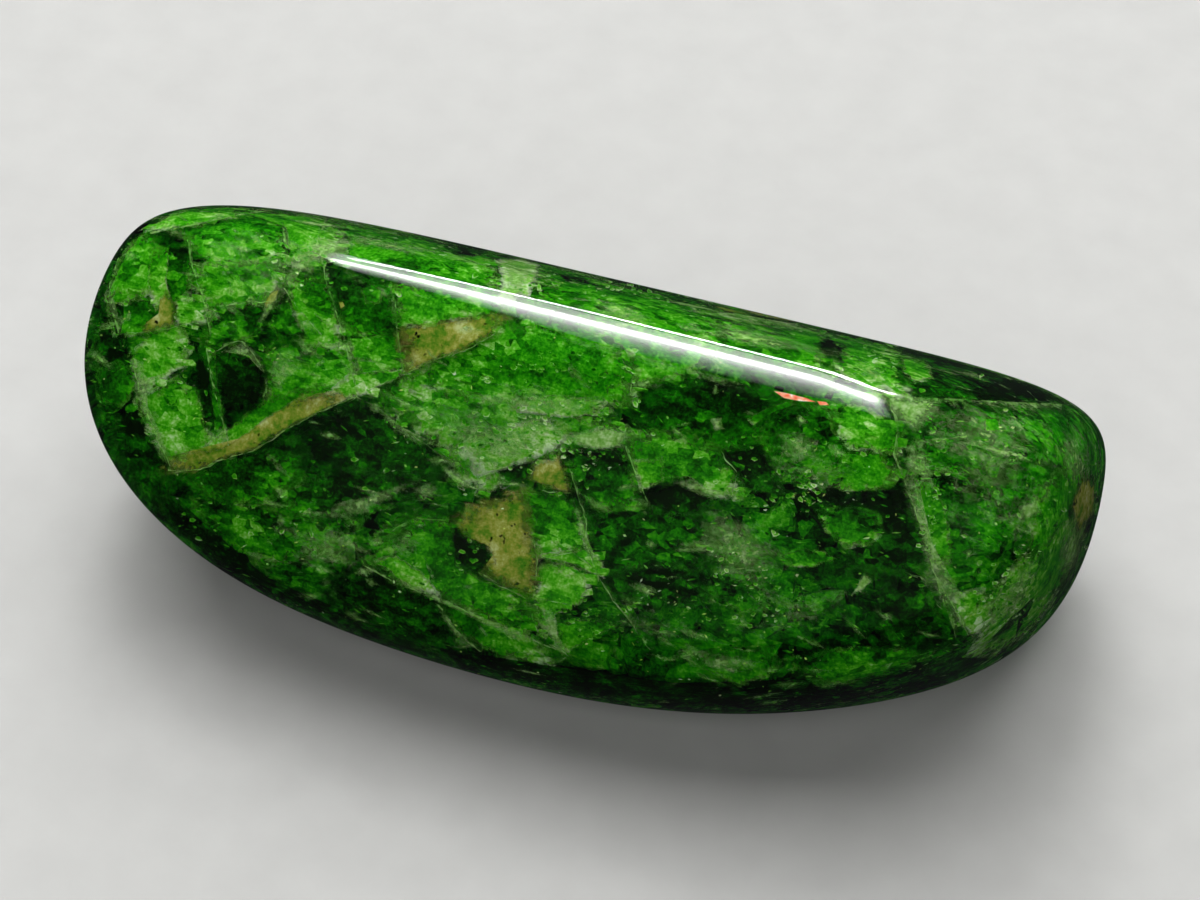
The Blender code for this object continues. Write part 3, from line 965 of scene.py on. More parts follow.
# %% Veils in the photograph
VEILS = {
    "under_ridge_left": (0.9, 0.5, [(262, 300), (285, 262), (283, 228), (300, 244), (326, 216), (392, 232),
                                    (345, 250), (322, 272), (290, 282), (270, 318)]),
    "upper_frost": (0.5, 0.6, [(190, 236), (250, 226), (282, 240), (240, 262), (200, 262)]),
    "left_edge": (0.6, 0.4, [(112, 262), (118, 262), (114, 300), (124, 336), (112, 338), (104, 300)]),
    "left_edge_low": (1.0, 0.3, [(132, 346), (142, 350), (138, 378), (146, 404), (168, 448), (172, 470),
                                 (160, 462), (142, 420), (130, 380)]),
    "left_spur": (0.9, 0.3, [(124, 364), (140, 368), (150, 388), (184, 368), (150, 398), (136, 382)]),
    "top_patch": (1.5, 0.25, [(496, 256), (538, 262), (534, 282), (526, 298), (500, 298), (503, 276)]),
    "wall_frost": (0.8, 0.4, [(286, 300), (300, 318), (320, 320), (330, 340), (300, 336), (288, 320)]),
    "hollow_frost": (0.8, 0.4, [(262, 352), (290, 340), (312, 360), (300, 380), (280, 392), (268, 372)]),
    "ridge_frost": (0.5, 0.5, [(560, 296), (640, 312), (690, 330), (640, 330), (580, 318)]),
    "ridge_frost_right": (0.6, 0.5, [(650, 300), (760, 322), (820, 346), (880, 360), (850, 372), (760, 350)]),
    "heart_veil": (0.85, 0.5, [(388, 388), (440, 396), (500, 404), (560, 418), (600, 426), (560, 452),
                              (520, 466), (486, 488), (462, 486), (440, 466), (452, 452), (410, 430)]),
    "heart_bright": (1.0, 0.35, [(470, 440), (520, 430), (560, 426), (548, 448), (500, 470), (470, 474)]),
    "pale_patch": (2.6, 0.25, [(560, 434), (600, 424), (636, 430), (628, 448), (596, 452), (574, 446)]),
    "feather": (1.3, 0.25, [(436, 460), (452, 470), (480, 492), (462, 488), (448, 478)]),
    "feather_low": (0.9, 0.3, [(404, 486), (432, 480), (446, 496), (420, 508)]),
    "long_feather": (0.9, 0.4, [(296, 524), (330, 504), (392, 486), (440, 470), (400, 500), (340, 524)]),
    "foot_frost": (0.7, 0.5, [(262, 520), (330, 520), (390, 536), (372, 566), (320, 580), (276, 556)]),
    "sweep_frost": (0.8, 0.4, [(356, 398), (384, 404), (404, 430), (452, 452), (420, 448), (384, 424)]),
    "left_frost": (0.7, 0.4, [(262, 446), (284, 462), (300, 486), (280, 478), (266, 460)]),
    "wing_edge": (1.3, 0.25, [(366, 566), (392, 576), (440, 596), (486, 618), (532, 636), (562, 652),
                              (540, 650), (500, 634), (450, 608), (400, 586)]),
    "wing_frost": (0.7, 0.3, [(374, 562), (384, 538), (412, 524), (430, 540), (410, 566)]),
    "under_wing_edge": (1.1, 0.3, [(432, 600), (446, 612), (466, 640), (480, 652), (460, 646), (440, 618)]),
    "door_foot": (1.4, 0.3, [(538, 600), (556, 604), (560, 640), (576, 662), (556, 654), (542, 628)]),
    "door_edge": (1.3, 0.3, [(570, 490), (586, 520), (592, 548), (604, 574), (590, 566), (576, 530)]),
    "room_shelf": (1.1, 0.3, [(656, 478), (690, 474), (716, 492), (738, 492), (716, 502), (684, 492)]),
    "stair_frost": (1.0, 0.4, [(700, 500), (760, 520), (800, 560), (770, 600), (720, 590), (690, 540)]),
    "right_frost": (0.5, 0.5, [(764, 440), (820, 440), (880, 470), (860, 490), (800, 500), (760, 480)]),
    "bars_frost": (0.55, 0.5, [(740, 580), (860, 584), (850, 610), (800, 640), (752, 640)]),
    "spark_wedge": (2.0, 0.25, [(849, 597), (866, 568), (874, 580), (862, 592)]),
    "low_frost": (0.9, 0.4, [(688, 652), (720, 648), (772, 662), (740, 682), (706, 672)]),
    "little_strip": (1.3, 0.35, [(255, 328), (262, 308), (272, 294), (282, 292), (276, 308), (264, 324)]),
    "cell_edge": (1.05, 0.3, [(898, 430), (910, 440), (912, 480), (928, 520), (940, 560), (958, 596),
                             (984, 634), (966, 646), (942, 614), (926, 580), (914, 530), (902, 490)]),
    # Partly real frost, partly a painted glow of the bright line's right end.
    "cell_corner": (1.7, 0.3, [(860, 386), (905, 394), (950, 398), (944, 416), (918, 438), (902, 426),
                               (880, 404)]),
    "cell_haze": (0.7, 0.5, [(905, 398), (1000, 396), (1066, 414), (1050, 470), (980, 476), (925, 460)]),
    "cell_line": (1.4, 0.3, [(950, 438), (1000, 448), (1046, 462), (1000, 456)]),
    "cell_fleck": (0.9, 0.35, [(1000, 520), (1030, 498), (1042, 506), (1018, 530)]),
    "cell_foot": (0.8, 0.4, [(985, 600), (1030, 560), (1040, 590), (1000, 630), (976, 640)]),
    "band_frost_left": (0.8, 0.35, [(340, 228), (400, 240), (460, 252), (440, 262), (380, 252), (340, 244)]),
    "band_frost_middle": (0.9, 0.3, [(590, 296), (640, 304), (660, 322), (620, 324), (590, 312)]),
    # Partly real frost, partly a painted glow beside the bright line.
    "band_frost_right": (1.2, 0.3, [(700, 318), (780, 336), (812, 352), (760, 350), (706, 336)]),
    "band_frost_end": (0.8, 0.3, [(846, 352), (880, 362), (900, 390), (880, 388), (852, 372)]),
    # Partly real frost, partly a painted glow spreading under the bright line.
    "under_highlight": (0.7, 0.3, [(520, 322), (620, 348), (720, 374), (800, 396), (760, 396), (640, 366),
                                   (540, 336)]),
    "centre_wash": (0.35, 0.3, [(420, 380), (520, 372), (620, 400), (640, 440), (560, 480), (470, 500),
                                (420, 440)]),
    "left_wash": (0.45, 0.3, [(210, 240), (300, 226), (340, 260), (300, 330), (230, 350), (190, 290)]),
    "right_wash": (0.45, 0.3, [(900, 410), (1010, 404), (1080, 450), (1060, 540), (980, 600), (920, 500)]),
    "small_square": (1.2, 0.3, [(214, 428), (228, 424), (232, 440), (222, 448)]),
    "hollow_roof": (1.0, 0.3, [(218, 350), (238, 334), (262, 356), (270, 380), (262, 372), (240, 345)]),
    "left_diamond": (0.9, 0.3, [(266, 370), (296, 370), (282, 394), (270, 388)]),
    "ridge_start": (0.9, 0.35, [(296, 248), (330, 232), (372, 240), (350, 252), (318, 262), (296, 266)]),
    "above_highlight": (0.6, 0.5, [(390, 240), (480, 256), (500, 270), (440, 262)]),
    "centre_frost": (0.8, 0.4, [(436, 400), (500, 380), (580, 396), (640, 392), (600, 420), (520, 424)]),
    "flake_by_shade": (1.3, 0.25, [(708, 418), (722, 416), (726, 430), (714, 434)]),
    "right_middle_frost": (0.8, 0.35, [(770, 430), (800, 424), (830, 440), (818, 470), (786, 472)]),
    "cell_strip_frost": (0.9, 0.3, [(900, 440), (924, 430), (934, 460), (940, 500), (922, 494), (908, 470)]),
    "cell_side": (0.8, 0.4, [(1000, 580), (1040, 540), (1052, 556), (1010, 640), (992, 640)]),
    "blue_fleck": (1.8, 0.25, [(1016, 506), (1038, 496), (1044, 512), (1022, 526)]),
    "foot_frost_right": (0.45, 0.4, [(600, 600), (650, 600), (700, 640), (680, 660), (620, 640)]),
    "rim_right_low": (1.1, 0.3, [(1060, 524), (1080, 500), (1092, 530), (1080, 572), (1062, 600),
                                 (1054, 562)]),
    "rim_right": (0.8, 0.4, [(1050, 440), (1076, 410), (1094, 450), (1096, 500), (1060, 490)]),
}
VEIL_CUTS = 3


def face_outwards(shape):
    """Turns every face of an open sheet towards the skin."""
    shape.normal_update()
    for face in shape.faces:
        if face.normal.dot(face.calc_center_median() - Vector(stone_middle)) < 0:
            face.normal_flip()


def sheets(name, outlines, material):
    """Thin sheets that follow the skin at a depth, each with its cover falling to its edge."""
    shape = bmesh.new()
    cover = shape.verts.layers.float.new("cover")
    for strength, depth, corners in outlines:
        flat = bmesh.new()
        flat_cover = flat.verts.layers.float.new("cover")
        middle = flat.verts.new((sum(x for x, _ in corners) / len(corners),
                                 sum(y for _, y in corners) / len(corners), 0.0))
        middle[flat_cover] = strength
        edge = [flat.verts.new((x, y, 0.0)) for x, y in corners]
        for one, other in zip(edge, edge[1:] + edge[:1]):
            flat.faces.new((middle, one, other))
        bmesh.ops.subdivide_edges(flat, edges=flat.edges[:], cuts=VEIL_CUTS, use_grid_fill=True)
        flat.verts.index_update()
        places = [seen_at(vert.co.x, vert.co.y, depth * MM) for vert in flat.verts]
        for side in both_sides(places):
            moved = [shape.verts.new(place) for place in side]
            for vert, new in zip(flat.verts, moved):
                new[cover] = vert[flat_cover]
            for face in flat.faces:
                shape.faces.new([moved[vert.index] for vert in face.verts])
        flat.free()
    face_outwards(shape)
    data = bpy.data.meshes.new(name)
    shape.to_mesh(data)
    shape.free()
    return mesh_object(name, data, material)


def frosted_cleavage():
    """Crushed cleavage: a pale frost that feathers out along the fibres."""
    material = bpy.data.materials.new("frosted_cleavage")
    material.use_nodes = True
    tree = material.node_tree
    shader = tree.nodes["Principled BSDF"]
    place = crystal_place(tree)
    drawn_out = add(tree, "ShaderNodeMapping", Vector=place, Scale=(0.3, 1.0, 1.0))
    fibres = add(tree, "ShaderNodeTexNoise", Vector=drawn_out.outputs["Vector"],
                 Scale=1 / (0.6 * MM), Detail=4.0, Roughness=0.75, Distortion=0.5)
    powder = add(tree, "ShaderNodeTexNoise", Vector=place, Scale=1 / (0.28 * MM), Detail=2.0,
                 Roughness=0.7)
    cover = add(tree, "ShaderNodeAttribute", {"attribute_name": "cover"}).outputs["Fac"]
    feathered = add(tree, "ShaderNodeMath", {"operation": "MULTIPLY_ADD"}, _0=fibres.outputs["Fac"],
                    _1=1.6, _2=cover)
    powdered = add(tree, "ShaderNodeMath", {"operation": "MULTIPLY_ADD"}, _0=powder.outputs["Fac"],
                   _1=0.4, _2=feathered.outputs["Value"])
    shown = add(tree, "ShaderNodeMapRange", Value=powdered.outputs["Value"], From_Min=1.18,
                From_Max=2.2, To_Min=0.0, To_Max=0.7)
    tint = ramp(tree, powder.outputs["Fac"], [(0.34, "#7CB848"), (0.5, "#A6D078"), (0.66, "#DCF0BC")])
    tree.links.new(tint, shader.inputs["Base Color"])
    tree.links.new(shown.outputs["Result"], shader.inputs["Alpha"])
    shader.inputs["Roughness"].default_value = 0.6
    shader.inputs["Specular IOR Level"].default_value = 0.0
    return material


frost = frosted_cleavage()
veils = sheets("pale_veils", VEILS.values(), frost)
print("veils:", len(VEILS), "with", len(veils.data.polygons), "faces")


# %% [markdown]
# ## Hairline cracks
#
# A few breaks are seen edge on, as pale threads. Each is drawn by its ends and turning points,
# and Geometry Nodes do the rest: resample the line, shake it a little, and sweep a thin round
# profile along it.

# %% Cracks
CRACKS = {
    # Each is how far its sheet leans aside in the view, then the line that shows.
    "upper_left": ((8, 2), [(282, 222), (284, 240), (286, 262)]),
    "pillar": ((7, 0), [(326, 216), (318, 238), (322, 262), (326, 282), (336, 312), (344, 340), (352, 376),
                        (356, 392)]),
    "pillar_side": ((8, 0), [(188, 240), (190, 262), (200, 290), (206, 312), (210, 336)]),
    "window_side": ((-6, 0), [(391, 284), (395, 305), (398, 330), (404, 372)]),
    "left_shelf": ((2, -9), [(150, 234), (190, 226), (230, 217), (268, 211)]),
    "shelf_under": ((0, -6), [(205, 308), (240, 304), (276, 302)]),
    "tile_floor": ((0, 5), [(117, 334), (144, 332), (178, 326), (206, 323)]),
    "tile_right": ((0, 0), [(182, 328), (190, 356), (197, 330)]),
    "short_glint": ((0, 0), [(322, 345), (345, 346)]),
    "left_rim_high": ((7, 0), [(118, 258), (109, 285), (112, 310), (118, 333)]),
    "left_rim_low": ((6, -3), [(133, 356), (138, 385), (146, 412), (158, 440), (171, 469)]),
    "left_floor_top": ((2, 6), [(138, 391), (150, 390), (166, 382), (184, 370)]),
    "hollow_side": ((6, -2), [(206, 350), (212, 384), (222, 420), (228, 446)]),
    "hollow_top": ((2, -6), [(216, 352), (226, 346), (240, 341), (254, 354), (264, 372)]),
    "hollow_right": ((7, 0), [(262, 364), (266, 386), (262, 400)]),
    "diamond": ((0, 0), [(268, 370), (282, 372), (296, 370), (288, 382), (281, 393), (268, 384)]),
    "wall_line": ((6, 3), [(284, 288), (296, 306), (306, 318), (320, 334)]),
    "sweep_under": ((0, -5), [(168, 471), (200, 470), (216, 462), (256, 450), (286, 430), (312, 416),
                              (358, 396), (404, 375), (430, 362), (472, 348), (502, 329)]),
    "sweep_feather": ((3, 6), [(356, 397), (380, 408), (396, 424), (420, 440), (452, 462)]),
    "patch_side": ((-4, 0), [(522, 489), (527, 522), (537, 555), (535, 590)]),
    "patch_foot": ((0, -5), [(480, 573), (505, 588), (528, 600)]),
    "little_patch_foot": ((0, 0), [(526, 487), (548, 490), (570, 493)]),
    "door_top": ((-2, -9), [(541, 558), (572, 553), (590, 566), (602, 577)]),
    "room_side": ((5, 0), [(626, 446), (634, 470), (648, 504)]),
    "room_right": ((-4, -2), [(722, 452), (737, 475), (732, 496)]),
    "long_seam": ((7, -1), [(566, 456), (574, 484), (585, 520), (586, 545), (600, 580), (612, 600),
                            (627, 618), (650, 650)]),
    "door_seam": ((6, 0), [(537, 590), (531, 615), (540, 640), (562, 652), (582, 666)]),
    "wing_top": ((3, 6), [(380, 540), (398, 526), (415, 518), (447, 520)]),
    "wing_low": ((3, -9), [(362, 565), (395, 583), (430, 596), (465, 610), (492, 626), (532, 640),
                           (560, 652)]),
    "wing_crease": ((-6, 2), [(425, 557), (433, 578), (437, 600)]),
    "under_wing": ((6, -2), [(435, 601), (449, 624), (466, 641), (480, 652)]),
    "cell_boundary": ((10, -2), [(890, 398), (897, 430), (893, 455), (910, 495), (930, 560), (940, 592),
                                 (956, 637)]),
    "cell_line": ((0, 6), [(920, 440), (960, 437), (987, 445), (1004, 450), (1032, 461)]),
    "cell_top": ((0, 12), [(905, 397), (960, 399), (1010, 402), (1062, 404)]),
    "cell_vee_left": ((5, -3), [(930, 566), (944, 592), (960, 618), (968, 636)]),
    "cell_vee_right": ((-8, -3), [(1008, 578), (994, 604), (980, 632)]),
    "rim_line": ((0, 0), [(1046, 564), (1032, 598), (1006, 645)]),
    "black_foot_edge": ((7, -3), [(904, 573), (920, 577), (935, 600), (955, 623)]),
    "centre_line": ((4, 4), [(620, 356), (632, 376), (630, 392)]),
}
CRACK_DEPTH = 0.25 * MM
SHEET_STEP = 6
SHEET_ROWS = 4
SHEET_DROP = 1.0 * MM
SHEET_STRENGTH = (0.2, 1.4)


def crack_sheets(name, cracks, material):
    """The break behind each crack line: a sheet going in from it, fading out as it goes."""
    shape = bmesh.new()
    cover = shape.verts.layers.float.new("cover")
    dice = random.Random(name)
    for lean, corners in cracks:
        if lean == (0, 0):
            continue
        line = []
        for (x, y), (next_x, next_y) in zip(corners, corners[1:]):
            count = max(1, round(math.dist((x, y), (next_x, next_y)) / SHEET_STEP))
            for i in range(count):
                line.append((x + (next_x - x) * i / count, y + (next_y - y) * i / count))
        line.append(corners[-1])
        reaches = [dice.uniform(0.4, 1.6) for _ in line]
        strengths = [dice.uniform(*SHEET_STRENGTH) for _ in line]
        places = []
        for row in range(SHEET_ROWS):
            part = row / (SHEET_ROWS - 1)
            for (x, y), far in zip(line, reaches):
                places.append(seen_at(x + lean[0] * part * far, y + lean[1] * part * far,
                                      CRACK_DEPTH + SHEET_DROP * part))
        for side in both_sides(places):
            verts = [shape.verts.new(place) for place in side]
            for i, vert in enumerate(verts):
                fading = 1 - (i // len(line)) / (SHEET_ROWS - 1)
                vert[cover] = strengths[i % len(line)] * fading**1.5
            for row in range(SHEET_ROWS - 1):
                for i in range(row * len(line), (row + 1) * len(line) - 1):
                    shape.faces.new((verts[i], verts[i + 1], verts[i + 1 + len(line)], verts[i + len(line)]))
    face_outwards(shape)
    data = bpy.data.meshes.new(name)
    shape.to_mesh(data)
    shape.free()
    return mesh_object(name, data, material)


crack_planes = crack_sheets("crack_sheets", CRACKS.values(), frost)
print("crack sheet faces:", len(crack_planes.data.polygons))


# %% Threads along the cracks
def crack_lines():
    """The cracks as loose edges, one chain for each."""
    shape = bmesh.new()
    for _, corners in CRACKS.values():
        for side in both_sides([seen_at(*corner, CRACK_DEPTH) for corner in corners]):
            chain = [shape.verts.new(place) for place in side]
            for one, other in zip(chain, chain[1:]):
                shape.edges.new((one, other))
    data = bpy.data.meshes.new("crack_lines")
    shape.to_mesh(data)
    shape.free()
    return bpy.data.objects.new("crack_lines", data)


def crack_tree():
    """Chains of edges, shaken and swept into thin threads."""
    tree, given, result = new_tree("hairline_cracks", {
        "Lines": "Geometry", "Step": "Float", "Shake": "Float", "Radius": "Float",
        "Finish": "Material",
    })
    curve = add(tree, "GeometryNodeMeshToCurve", Mesh=given["Lines"])
    even = add(tree, "GeometryNodeResampleCurve", {"mode": "LENGTH"}, Curve=curve.outputs["Curve"],
               Length=given["Step"])
    noise = add(tree, "ShaderNodeTexNoise", Scale=1 / (0.8 * MM), Detail=3.0)
    centred = add(tree, "ShaderNodeVectorMath", {"operation": "SUBTRACT"}, _0=noise.outputs["Color"],
                  _1=(0.5, 0.5, 0.5))
    offset = add(tree, "ShaderNodeVectorMath", {"operation": "SCALE"}, _0=centred.outputs["Vector"],
                 Scale=given["Shake"])
    shaken = add(tree, "GeometryNodeSetPosition", Geometry=even.outputs["Curve"],
                 Offset=offset.outputs["Vector"])
    along = add(tree, "ShaderNodeTexNoise", Scale=1 / (1.0 * MM), Detail=3.0)
    thick = add(tree, "ShaderNodeMapRange", Value=along.outputs["Fac"], From_Min=0.49, From_Max=0.68,
                To_Min=0.0, To_Max=1.0)
    ring = add(tree, "GeometryNodeCurvePrimitiveCircle", Resolution=5, Radius=given["Radius"])
    swept = add(tree, "GeometryNodeCurveToMesh", Curve=shaken.outputs["Geometry"],
                Profile_Curve=ring.outputs["Curve"], Scale=thick.outputs["Result"], Fill_Caps=True)
    real = add(tree, "GeometryNodeRealizeInstances", Geometry=swept.outputs["Mesh"])
    finish = add(tree, "GeometryNodeSetMaterial", Geometry=real.outputs["Geometry"],
                 Material=given["Finish"])
    tree.links.new(finish.outputs["Geometry"], result)
    return tree


def crushed_edge():
    """Crack edges: powdered, nearly white."""
    material = bpy.data.materials.new("crushed_crack_edge")
    material.use_nodes = True
    tree = material.node_tree
    shader = tree.nodes["Principled BSDF"]
    place = crystal_place(tree)
    dust = add(tree, "ShaderNodeTexNoise", Vector=place, Scale=1 / (0.4 * MM), Detail=3.0)
    tint = ramp(tree, dust.outputs["Fac"], [(0.35, "#3E7424"), (0.5, "#7EA858"), (0.65, "#CCDEB0")])
    tree.links.new(tint, shader.inputs["Base Color"])
    shader.inputs["Roughness"].default_value = 0.7
    return material


lines = crack_lines()
bpy.context.scene.collection.objects.link(lines)
pale_edge = crushed_edge()
crack_mesh = settled(lines, crack_tree(), "hairline_cracks", Step=0.12 * MM, Shake=0.5 * MM,
                     Radius=0.03 * MM, Finish=pale_edge)
keep_under(crack_mesh, 0.1 * MM, 0.1 * MM)
bpy.data.objects.remove(lines)
cracks = mesh_object("hairline_cracks", crack_mesh, pale_edge)
print("crack faces:", len(crack_mesh.polygons))


# %% [markdown]
# ## Slivers and sparks
#
# Between the big breaks the stone is full of slivers: fibres a hair thick that have parted
# along the crystal's length, and here and there a crack so clean that it mirrors the light,
# drawn as a speck with a painted glint.
# Both are scattered by one node tree, which differs only in the shape it is given, how far
# that shape may turn and how much each one is stretched.

# %% A scatter under the skin
def sliver_shape():
    """A long thin lozenge, one metre long, closed."""
    shape = bmesh.new()
    ends = [shape.verts.new((x, 0.0, 0.0)) for x in (-0.5, 0.5)]
    waist = [shape.verts.new((x, y, z)) for x, y, z in
             ((-0.1, 0.5, 0.0), (0.05, 0.0, 0.5), (0.12, -0.5, 0.0), (-0.06, 0.0, -0.5))]
    for end in ends:
        for one, other in zip(waist, waist[1:] + waist[:1]):
            shape.faces.new((end, one, other))
    bmesh.ops.recalc_face_normals(shape, faces=shape.faces[:])
    data = bpy.data.meshes.new("sliver_shape")
    shape.to_mesh(data)
    shape.free()
    return bpy.data.objects.new("sliver_shape", data)


def sliver_tree():
    """One shape on many points at random depths under a surface, thick in some places."""
    tree, given, result = new_tree("slivers", {
        "Surface": "Geometry", "Shape": "Object", "Density": "Float", "Sink": "Float",
        "Smallest": "Vector", "Largest": "Vector", "Turn": "Vector", "Wobble": "Vector",
        "Patch Size": "Float", "Patch Edge": "Float", "Palest": "Float", "Seed": "Int",
        "Finish": "Material",
    })
    place = add(tree, "GeometryNodeInputPosition")
    per_patch = add(tree, "ShaderNodeMath", {"operation": "DIVIDE"}, _0=1.0, _1=given["Patch Size"])
    patches = add(tree, "ShaderNodeTexNoise", Vector=place.outputs["Position"],
                  Scale=per_patch.outputs["Value"], Detail=2.0)
    thickness = add(tree, "ShaderNodeMapRange", Value=patches.outputs["Fac"],
                    From_Min=given["Patch Edge"], From_Max=0.75, To_Min=0.0, To_Max=1.0)
    density = add(tree, "ShaderNodeMath", {"operation": "MULTIPLY"}, _0=thickness.outputs["Result"],
                  _1=given["Density"])
    scatter = add(tree, "GeometryNodeDistributePointsOnFaces", Mesh=given["Surface"],
                  Density=density.outputs["Value"], Seed=given["Seed"])
    depth = add(tree, "FunctionNodeRandomValue", {"data_type": "FLOAT"}, Seed=given["Seed"])
    down = add(tree, "ShaderNodeMath", {"operation": "MULTIPLY"}, _0=depth.outputs[1],
               _1=given["Sink"])
    minus = add(tree, "ShaderNodeMath", {"operation": "MULTIPLY"}, _0=down.outputs["Value"], _1=-1.0)
    inwards = add(tree, "ShaderNodeVectorMath", {"operation": "SCALE"},
                  _0=scatter.outputs["Normal"], Scale=minus.outputs["Value"])
    sunk = add(tree, "GeometryNodeSetPosition", Geometry=scatter.outputs["Points"],
               Offset=inwards.outputs["Vector"])
    shape = add(tree, "GeometryNodeObjectInfo", Object=given["Shape"])
    size = add(tree, "FunctionNodeRandomValue", {"data_type": "FLOAT_VECTOR"},
               _0=given["Smallest"], _1=given["Largest"], Seed=given["Seed"])
    other_way = add(tree, "ShaderNodeVectorMath", {"operation": "MULTIPLY"}, _0=given["Wobble"],
                    _1=(-1.0, -1.0, -1.0))
    wobble = add(tree, "FunctionNodeRandomValue", {"data_type": "FLOAT_VECTOR"},
                 _0=other_way.outputs["Vector"], _1=given["Wobble"], Seed=11)
    turn = add(tree, "ShaderNodeVectorMath", {"operation": "ADD"}, _0=given["Turn"],
               _1=wobble.outputs[0])
    placed = add(tree, "GeometryNodeInstanceOnPoints", Points=sunk.outputs["Geometry"],
                 Instance=shape.outputs["Geometry"], Rotation=turn.outputs["Vector"],
                 Scale=size.outputs[0])
    tone = add(tree, "FunctionNodeRandomValue", {"data_type": "FLOAT"}, _2=0.3,
               _3=given["Palest"], Seed=12)
    toned = add(tree, "GeometryNodeStoreNamedAttribute", {"data_type": "FLOAT", "domain": "INSTANCE"},
                Geometry=placed.outputs["Instances"], Name="tone", Value=tone.outputs[1])
    real = add(tree, "GeometryNodeRealizeInstances", Geometry=toned.outputs["Geometry"])
    finish = add(tree, "GeometryNodeSetMaterial", Geometry=real.outputs["Geometry"],
                 Material=given["Finish"])
    tree.links.new(finish.outputs["Geometry"], result)
    return tree


# %% Slivers
SLIVER_DEPTH = 0.3 * MM
upper_layer = buried_surface("upper_layer", SLIVER_DEPTH, HEART_STEPS, 0.5)
one_sliver = sliver_shape()
bpy.context.scene.collection.objects.link(one_sliver)
scatter_tree = sliver_tree()
sliver_mesh = settled(
    upper_layer, scatter_tree, "fibre_slivers",
    Shape=one_sliver, Density=5.0e6, Sink=1.0 * MM,
    Smallest=Vector((0.10, 0.03, 0.03)) * MM, Largest=Vector((0.6, 0.16, 0.10)) * MM,
    Turn=Vector(crystal_turn), Wobble=Vector((80, 25, 35)) * math.pi / 180,
    Patch_Size=5.0 * MM, Patch_Edge=0.46, Palest=0.7, Seed=2, Finish=broken_face,
)
keep_under(sliver_mesh, 0.15 * MM, 0.15 * MM)
slivers = mesh_object("fibre_slivers", sliver_mesh, broken_face)
print("sliver faces:", len(sliver_mesh.polygons))


# %% Feathers
def feather_shape():
    """A leaf-shaped sheet, one metre long and wide, with its cover falling to its edge."""
    shape = bmesh.new()
    cover = shape.verts.layers.float.new("cover")
    middle = shape.verts.new((0.0, 0.0, 0.0))
    middle[cover] = 0.95
    edge = [shape.verts.new((x, y, 0.0)) for x, y in
            ((-0.5, 0.05), (-0.3, -0.22), (-0.05, -0.5), (0.25, -0.3), (0.5, -0.04), (0.2, 0.28), (-0.1, 0.46),
             (-0.36, 0.3))]
    for one, other in zip(edge, edge[1:] + edge[:1]):
        shape.faces.new((middle, one, other))
    data = bpy.data.meshes.new("feather_shape")
    shape.to_mesh(data)
    shape.free()
    return bpy.data.objects.new("feather_shape", data)


one_feather = feather_shape()
bpy.context.scene.collection.objects.link(one_feather)
feather_mesh = settled(
    upper_layer, scatter_tree, "feathers",
    Shape=one_feather, Density=0.9e6, Sink=1.0 * MM,
    Smallest=Vector((0.5, 0.3, 0.3)) * MM, Largest=Vector((3.6, 1.1, 1.0)) * MM,
    Turn=Vector(crystal_turn), Wobble=Vector((70, 22, 26)) * math.pi / 180,
    Patch_Size=6.0 * MM, Patch_Edge=0.40, Palest=0.95, Seed=5, Finish=frost,
)
keep_under(feather_mesh, 0.2 * MM, 0.2 * MM)
feathers = mesh_object("feathers", feather_mesh, frost)
bpy.data.objects.remove(one_feather)
print("feather faces:", len(feather_mesh.polygons))


# %% Sparks
def painted_glint_finish():
    """Painted glints: a matt near-white yellow-green that stands for clean cracks mirroring the light."""
    material = bpy.data.materials.new("clean_air_crack")
    material.use_nodes = True
    tree = material.node_tree
    shader = tree.nodes["Principled BSDF"]
    place = crystal_place(tree)
    tints = add(tree, "ShaderNodeTexNoise", Vector=place, Scale=1 / (3.0 * MM), Detail=1.0)
    tint = ramp(tree, tints.outputs["Fac"], [(0.4, "#F4FFE0"), (0.52, "#F2F08A"), (0.62, "#C8FF5C")])
    tree.links.new(tint, shader.inputs["Base Color"])
    shader.inputs["Roughness"].default_value = 0.25
    return material


painted_glint = painted_glint_finish()
# The sparks wear the painted glint finish: their brightness is painted, not mirrored.
spark_mesh = settled(
    upper_layer, scatter_tree, "sparks",
    Shape=one_sliver, Density=1.0e6, Sink=1.4 * MM,
    Smallest=Vector((0.05, 0.03, 0.02)) * MM, Largest=Vector((0.28, 0.12, 0.05)) * MM,
    Turn=Vector(crystal_turn), Wobble=Vector((50, 40, 60)) * math.pi / 180,
    Patch_Size=4.0 * MM, Patch_Edge=0.40, Palest=1.0, Seed=9, Finish=painted_glint,
)
keep_under(spark_mesh, 0.15 * MM, 0.15 * MM)
sparks = mesh_object("sparks", spark_mesh, painted_glint)
bpy.data.objects.remove(one_sliver)
bpy.data.objects.remove(upper_layer)
print("spark faces:", len(spark_mesh.polygons))


# %% Glints in the photograph
GLINTS = {
    # How many, how far they spread in pixels, their depth, and where.
    "left_streaks": (8, (9, 12), 0.4, (198, 414)),
    "left_tile": (3, (4, 4), 0.4, (146, 358)),
    "top_left": (5, (9, 4), 0.4, (168, 227)),
    "top_shelf": (5, (9, 4), 0.4, (220, 213)),
    "ridge_front": (4, (10, 6), 0.5, (470, 330)),
    "middle": (8, (14, 5), 0.5, (588, 402)),
    "dark_room": (9, (22, 5), 0.4, (600, 465)),
    "stair": (12, (26, 14), 0.4, (660, 592)),
    "low_middle": (12, (30, 20), 0.4, (740, 570)),
    "right_middle": (12, (26, 22), 0.4, (806, 450)),
    "right_shade": (10, (40, 14), 0.4, (830, 500)),
    "cell_high": (6, (14, 8), 0.3, (1010, 424)),
    "cell_low": (8, (10, 9), 0.4, (1030, 552)),
    "cell_foot": (5, (8, 8), 0.4, (968, 610)),
    "left_dark": (8, (40, 18), 0.4, (330, 530)),
    "hollow_right": (6, (10, 8), 0.4, (276, 352)),
}


